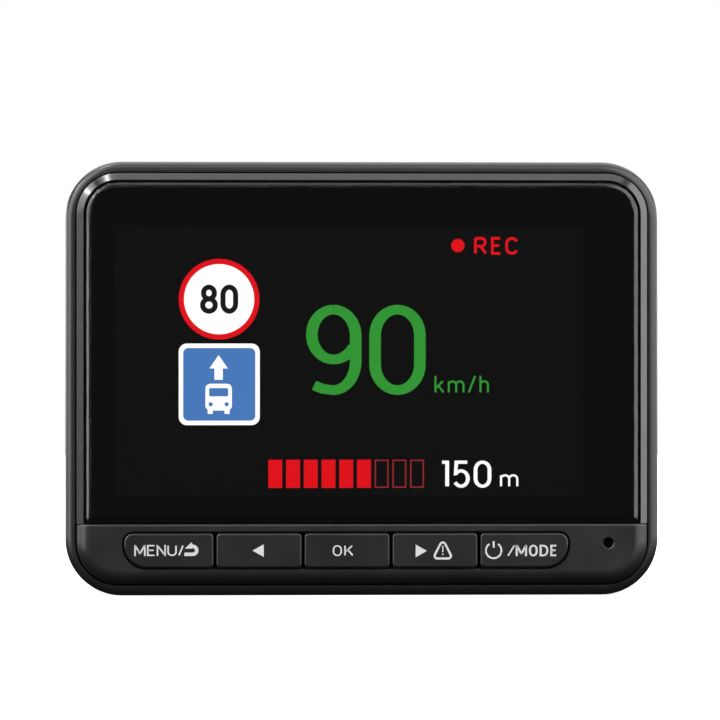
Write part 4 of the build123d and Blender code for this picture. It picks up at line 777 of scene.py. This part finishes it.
displayGrid = {"pitch": 0.15 * mm, "cloud": 9.0}
displayInk = {
    "litRed": {"colour": (230, 8, 22), "strength": 1.04},
    "litDarkRed": {"colour": (150, 38, 44), "strength": 1.0},
    "litWhite": {"colour": (254, 254, 254), "strength": 1.2},
    "litGreen": {"colour": (49, 152, 52), "strength": 1.05},
    "litBlue": {"colour": (74, 124, 192), "strength": 1.05},
    "litBlack": {"colour": (30, 28, 30), "strength": 0.6},
}
inks = {name: litSurface(name, {**look, **displayGrid}) for name, look in displayInk.items()}

# the lit figures and signs, in millimetres across and up
display = {
    "face": panelLow.y / mm,
    "across": (panelLow.x + panelHigh.x) / 2 / mm + 1.5,    # the figures are drawn for a display at -1.5
    "layer": 0.006,
    "speedSign": {"middle": (-17.95, 37.57), "outer": 5.12, "inner": 4.45},
    "number": {"text": "80", "half": (2.42, 1.85), "stroke": 0.66, "gap": 0.14},
    "laneSign": {"box": (-23.07, -12.80, 21.60, 31.95), "border": 0.57, "corner": 1.04, "step": 0.4},
    "arrow": {"shift": -0.08, "low": 27.35, "neck": 28.79, "tip": 30.48, "stem": 0.53, "head": 1.17},
    "bus": {"body": ((-19.69, -16.33, 23.45, 26.85), 0.62), "tyre": ((-19.40, -18.75, 23.02, 23.9), 0.12),
            "otherTyre": ((-17.27, -16.62, 23.02, 23.9), 0.12)},
    "busHoles": {"windscreen": (-19.22, -16.80, 25.25, 26.30), "corner": 0.20,
                 "lamps": ((-19.02, 24.25), (-17.00, 24.25)), "lamp": 0.27},
    "bar": {"left": -11.71, "low": 13.63, "high": 17.21, "cell": 1.76, "pitch": 2.25, "lit": 6, "cells": 9,
            "line": 0.17},
    "record": {"dot": (12.36, 44.40), "radius": 0.85},
}

displayWords = {
    "150": {"ink": "White", "box": (10.11, 16.62, 13.63, 17.08), "stroke": (0.48, 0.40), "gap": 0.22},
    "m": {"ink": "White", "box": (17.72, 20.05, 13.69, 15.34), "stroke": 0.26, "gap": 0.30},
    "REC": {"ink": "Red", "box": (14.42, 20.06, 43.24, 45.49), "stroke": 0.34, "gap": 0.30},
    "9": {"ink": "Green", "box": (-6.93, 0.11, 25.43, 36.87), "stroke": (1.47, 1.22), "gap": 0.30},
    "0": {"ink": "Green", "box": (1.10, 8.26, 25.43, 36.87), "stroke": (1.47, 1.22), "gap": 0.30},
    "km/h": {"ink": "Green", "box": (9.38, 16.31, 25.63, 27.97), "stroke": 0.25, "gap": 0.30},
}


def depths(layer):
    # front and back of a layer of the figures, counted from the display's glass towards the driver
    front = display["face"] - display["layer"] * (layer + 1)
    return front, front + display["layer"] * (1.0 if layer else 0.9)


def makeDisplay():
    # the figures in thin slabs, a piece for each colour: what lies on something else is a layer higher
    base, over, top = depths(0), depths(1), depths(2)
    sign, lane, bar, record = (display[key] for key in ("speedSign", "laneSign", "bar", "record"))
    number, head, holes = display["number"], display["arrow"], display["busHoles"]
    x, z = sign["middle"]
    left, right, low, high = lane["box"]
    inner = (left + lane["border"], right - lane["border"], low + lane["border"], high - lane["border"])
    middle = (left + right) / 2 + head["shift"]
    stem, wide, neck = head["stem"], head["head"], head["neck"]
    arrow = pathOf([(middle - stem, head["low"]), (middle + stem, head["low"]), (middle + stem, neck),
                    (middle + wide, neck), (middle, head["tip"]), (middle - wide, neck),
                    (middle - stem, neck)])
    cellStarts = bar["left"] + bar["pitch"] * np.arange(bar["cells"])
    cells = [(start, start + bar["cell"], bar["low"], bar["high"]) for start in cellStarts]
    white = [disc((x, z), sign["inner"], *over), roundedBox(lane["box"], lane["corner"], *depths(-0.5))]
    white += [plate(arrow, *over)]
    white += [roundedBox(box, corner, *over) for box, corner in display["bus"].values()]
    blue = [roundedBox(inner, lane["corner"] - lane["step"], *base)]
    blue += [roundedBox(holes["windscreen"], holes["corner"], *top)]
    blue += [disc(lamp, holes["lamp"], *top, 24) for lamp in holes["lamps"]]
    red = [disc((x, z), sign["outer"], *base)]
    red += [plate(pathOf([(a, c), (b, c), (b, d), (a, d)]), *base) for a, b, c, d in cells[:bar["lit"]]]
    red += [disc(record["dot"], record["radius"], *base, 32)]
    dark = [frameOutline(cell, bar["line"], *base) for cell in cells[bar["lit"]:]]
    halfWide, halfHigh = number["half"]
    numberBox = (x - halfWide, x + halfWide, z - halfHigh, z + halfHigh)
    black = write(number["text"], numberBox, number["stroke"], *top, number["gap"])
    groups = {"White": white, "Blue": blue, "Red": red, "DarkRed": dark, "Green": [], "Black": black}
    for text, look in displayWords.items():
        groups[look["ink"]] += write(text, look["box"], look["stroke"], *base, look["gap"])
    for name, shapes in groups.items():
        piece("display" + name, shapes, inks["lit" + name], "casing", display["across"])


makeDisplay()
print("display figures made")

legendInk = chipSurface("legendInk", {"colour": (186, 186, 186), "paler": (198, 198, 198),
                                      "rough": (0.45, 0.6)})
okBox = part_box("ok_key")
legend = {
    "proud": 0.008,
    "sunk": 0.02,
    "thin": (0.20, 0.17),
    "bold": (0.26, 0.22),
    "across": (okBox[0].x + okBox[1].x) / 2 / mm + 1.8,      # the row is drawn for an OK key at -1.8
}
menuLegend = {
    "text": "MENU/",
    "box": (-28.65, -22.41, 5.15, 6.54),
    "gap": 0.145,
    "widths": {"M": 1.19, "E": 0.88, "N": 0.975, "/": 0.59},
    "bend": {"middle": (-21.28, 5.86), "radius": 0.50, "width": 0.43},
    "ends": (-21.45, -22.33),       # where the arrow's stem starts and stops
    "head": [(-22.26, 6.07), (-21.30, 6.10), (-21.30, 6.60), (-21.44, 6.86)],
    "step": 0.002,                  # how far the arrow's head stands in front of its stem
}
leftLegend = {"triangle": [(-13.75, 5.81), (-12.33, 5.01), (-12.33, 6.61)]}
okLegend = {"text": "OK", "box": (-3.62, -0.99, 5.10, 6.48), "gap": 0.24}
rightLegend = {
    "triangle": [(6.86, 4.94), (8.28, 5.74), (6.86, 6.54)],
    "corners": [((10.29, 6.46), 30), ((9.60, 5.12), 150), ((10.98, 5.12), -90)],    # middle, first angle
    "turn": (0.34, 0.34),
    "line": 0.27,
    "mark": {"path": [(10.29, 6.37), (10.29, 5.60)], "width": 0.15, "dot": (10.29, 5.32), "radius": 0.10},
}
powerLegend = {
    "ring": {"middle": (16.73, 5.78), "radii": (0.98, 0.98), "angles": (124, 416), "width": 0.22},
    "bar": {"path": [(16.73, 6.95), (16.73, 6.15)], "width": 0.24},
    "slash": (18.47, 19.44, 5.04, 6.49),
    "text": "MODE",
    "box": (19.52, 24.79, 5.04, 6.49),
    "gap": 0.22,
}


def menuShapes(look, level):
    # the word, and an arrow whose stem is a straight run, half a circle and a longer run back
    x, z = look["bend"]["middle"]
    radius = look["bend"]["radius"]
    start, stop = look["ends"]
    stem = chain(pathOf([(start, z + radius)]), arc((x, z), (radius, radius), 90, -90, 16),
                 pathOf([(stop, z - radius)]))
    shapes = write(look["text"], look["box"], legend["thin"], *level, look["gap"], look["widths"])
    shapes += [ribbon(stem, False, look["bend"]["width"], *level)]
    return shapes + [plate(pathOf(look["head"]), level[0] - look["step"], level[1])]


def leftShapes(look, level):
    # a triangle that points left
    return [plate(pathOf(look["triangle"]), *level)]


def okShapes(look, level):
    # the word alone
    return write(look["text"], look["box"], legend["thin"], *level, look["gap"])


def rightShapes(look, level):
    # a triangle that points right, and a warning triangle: a bar carried round three arcs of 120 degrees
    warning = chain(*[arc(middle, look["turn"], start, start + 120, 9) for middle, start in look["corners"]])
    mark = look["mark"]
    return [plate(pathOf(look["triangle"]), *level), ribbon(warning, True, look["line"], *level),
            ribbon(pathOf(mark["path"]), False, mark["width"], *level),
            disc(mark["dot"], mark["radius"], *level, 16)]


def powerShapes(look, level):
    # a ring open at the top with a bar in its gap, a slash and the word
    ring, bar = look["ring"], look["bar"]
    circle = arc(ring["middle"], ring["radii"], *ring["angles"], 40)
    shapes = [ribbon(circle, False, ring["width"], *level),
              ribbon(pathOf(bar["path"]), False, bar["width"], *level)]
    shapes += write("/", look["slash"], legend["thin"], *level)
    return shapes + write(look["text"], look["box"], legend["bold"], *level, look["gap"])


legendMakers = {
    "menu": (menuShapes, menuLegend),
    "left": (leftShapes, leftLegend),
    "ok": (okShapes, okLegend),
    "right": (rightShapes, rightLegend),
    "power": (powerShapes, powerLegend),
}
for key, (shapesOf, look) in legendMakers.items():
    # each legend stands a hair in front of its own key and moves with it
    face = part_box(key + "_key")[0].y / mm
    level = (face - legend["proud"], face + legend["sunk"])
    piece(key + "Legend", shapesOf(look, level), legendInk, key + "_key", legend["across"])
print("key legends made")
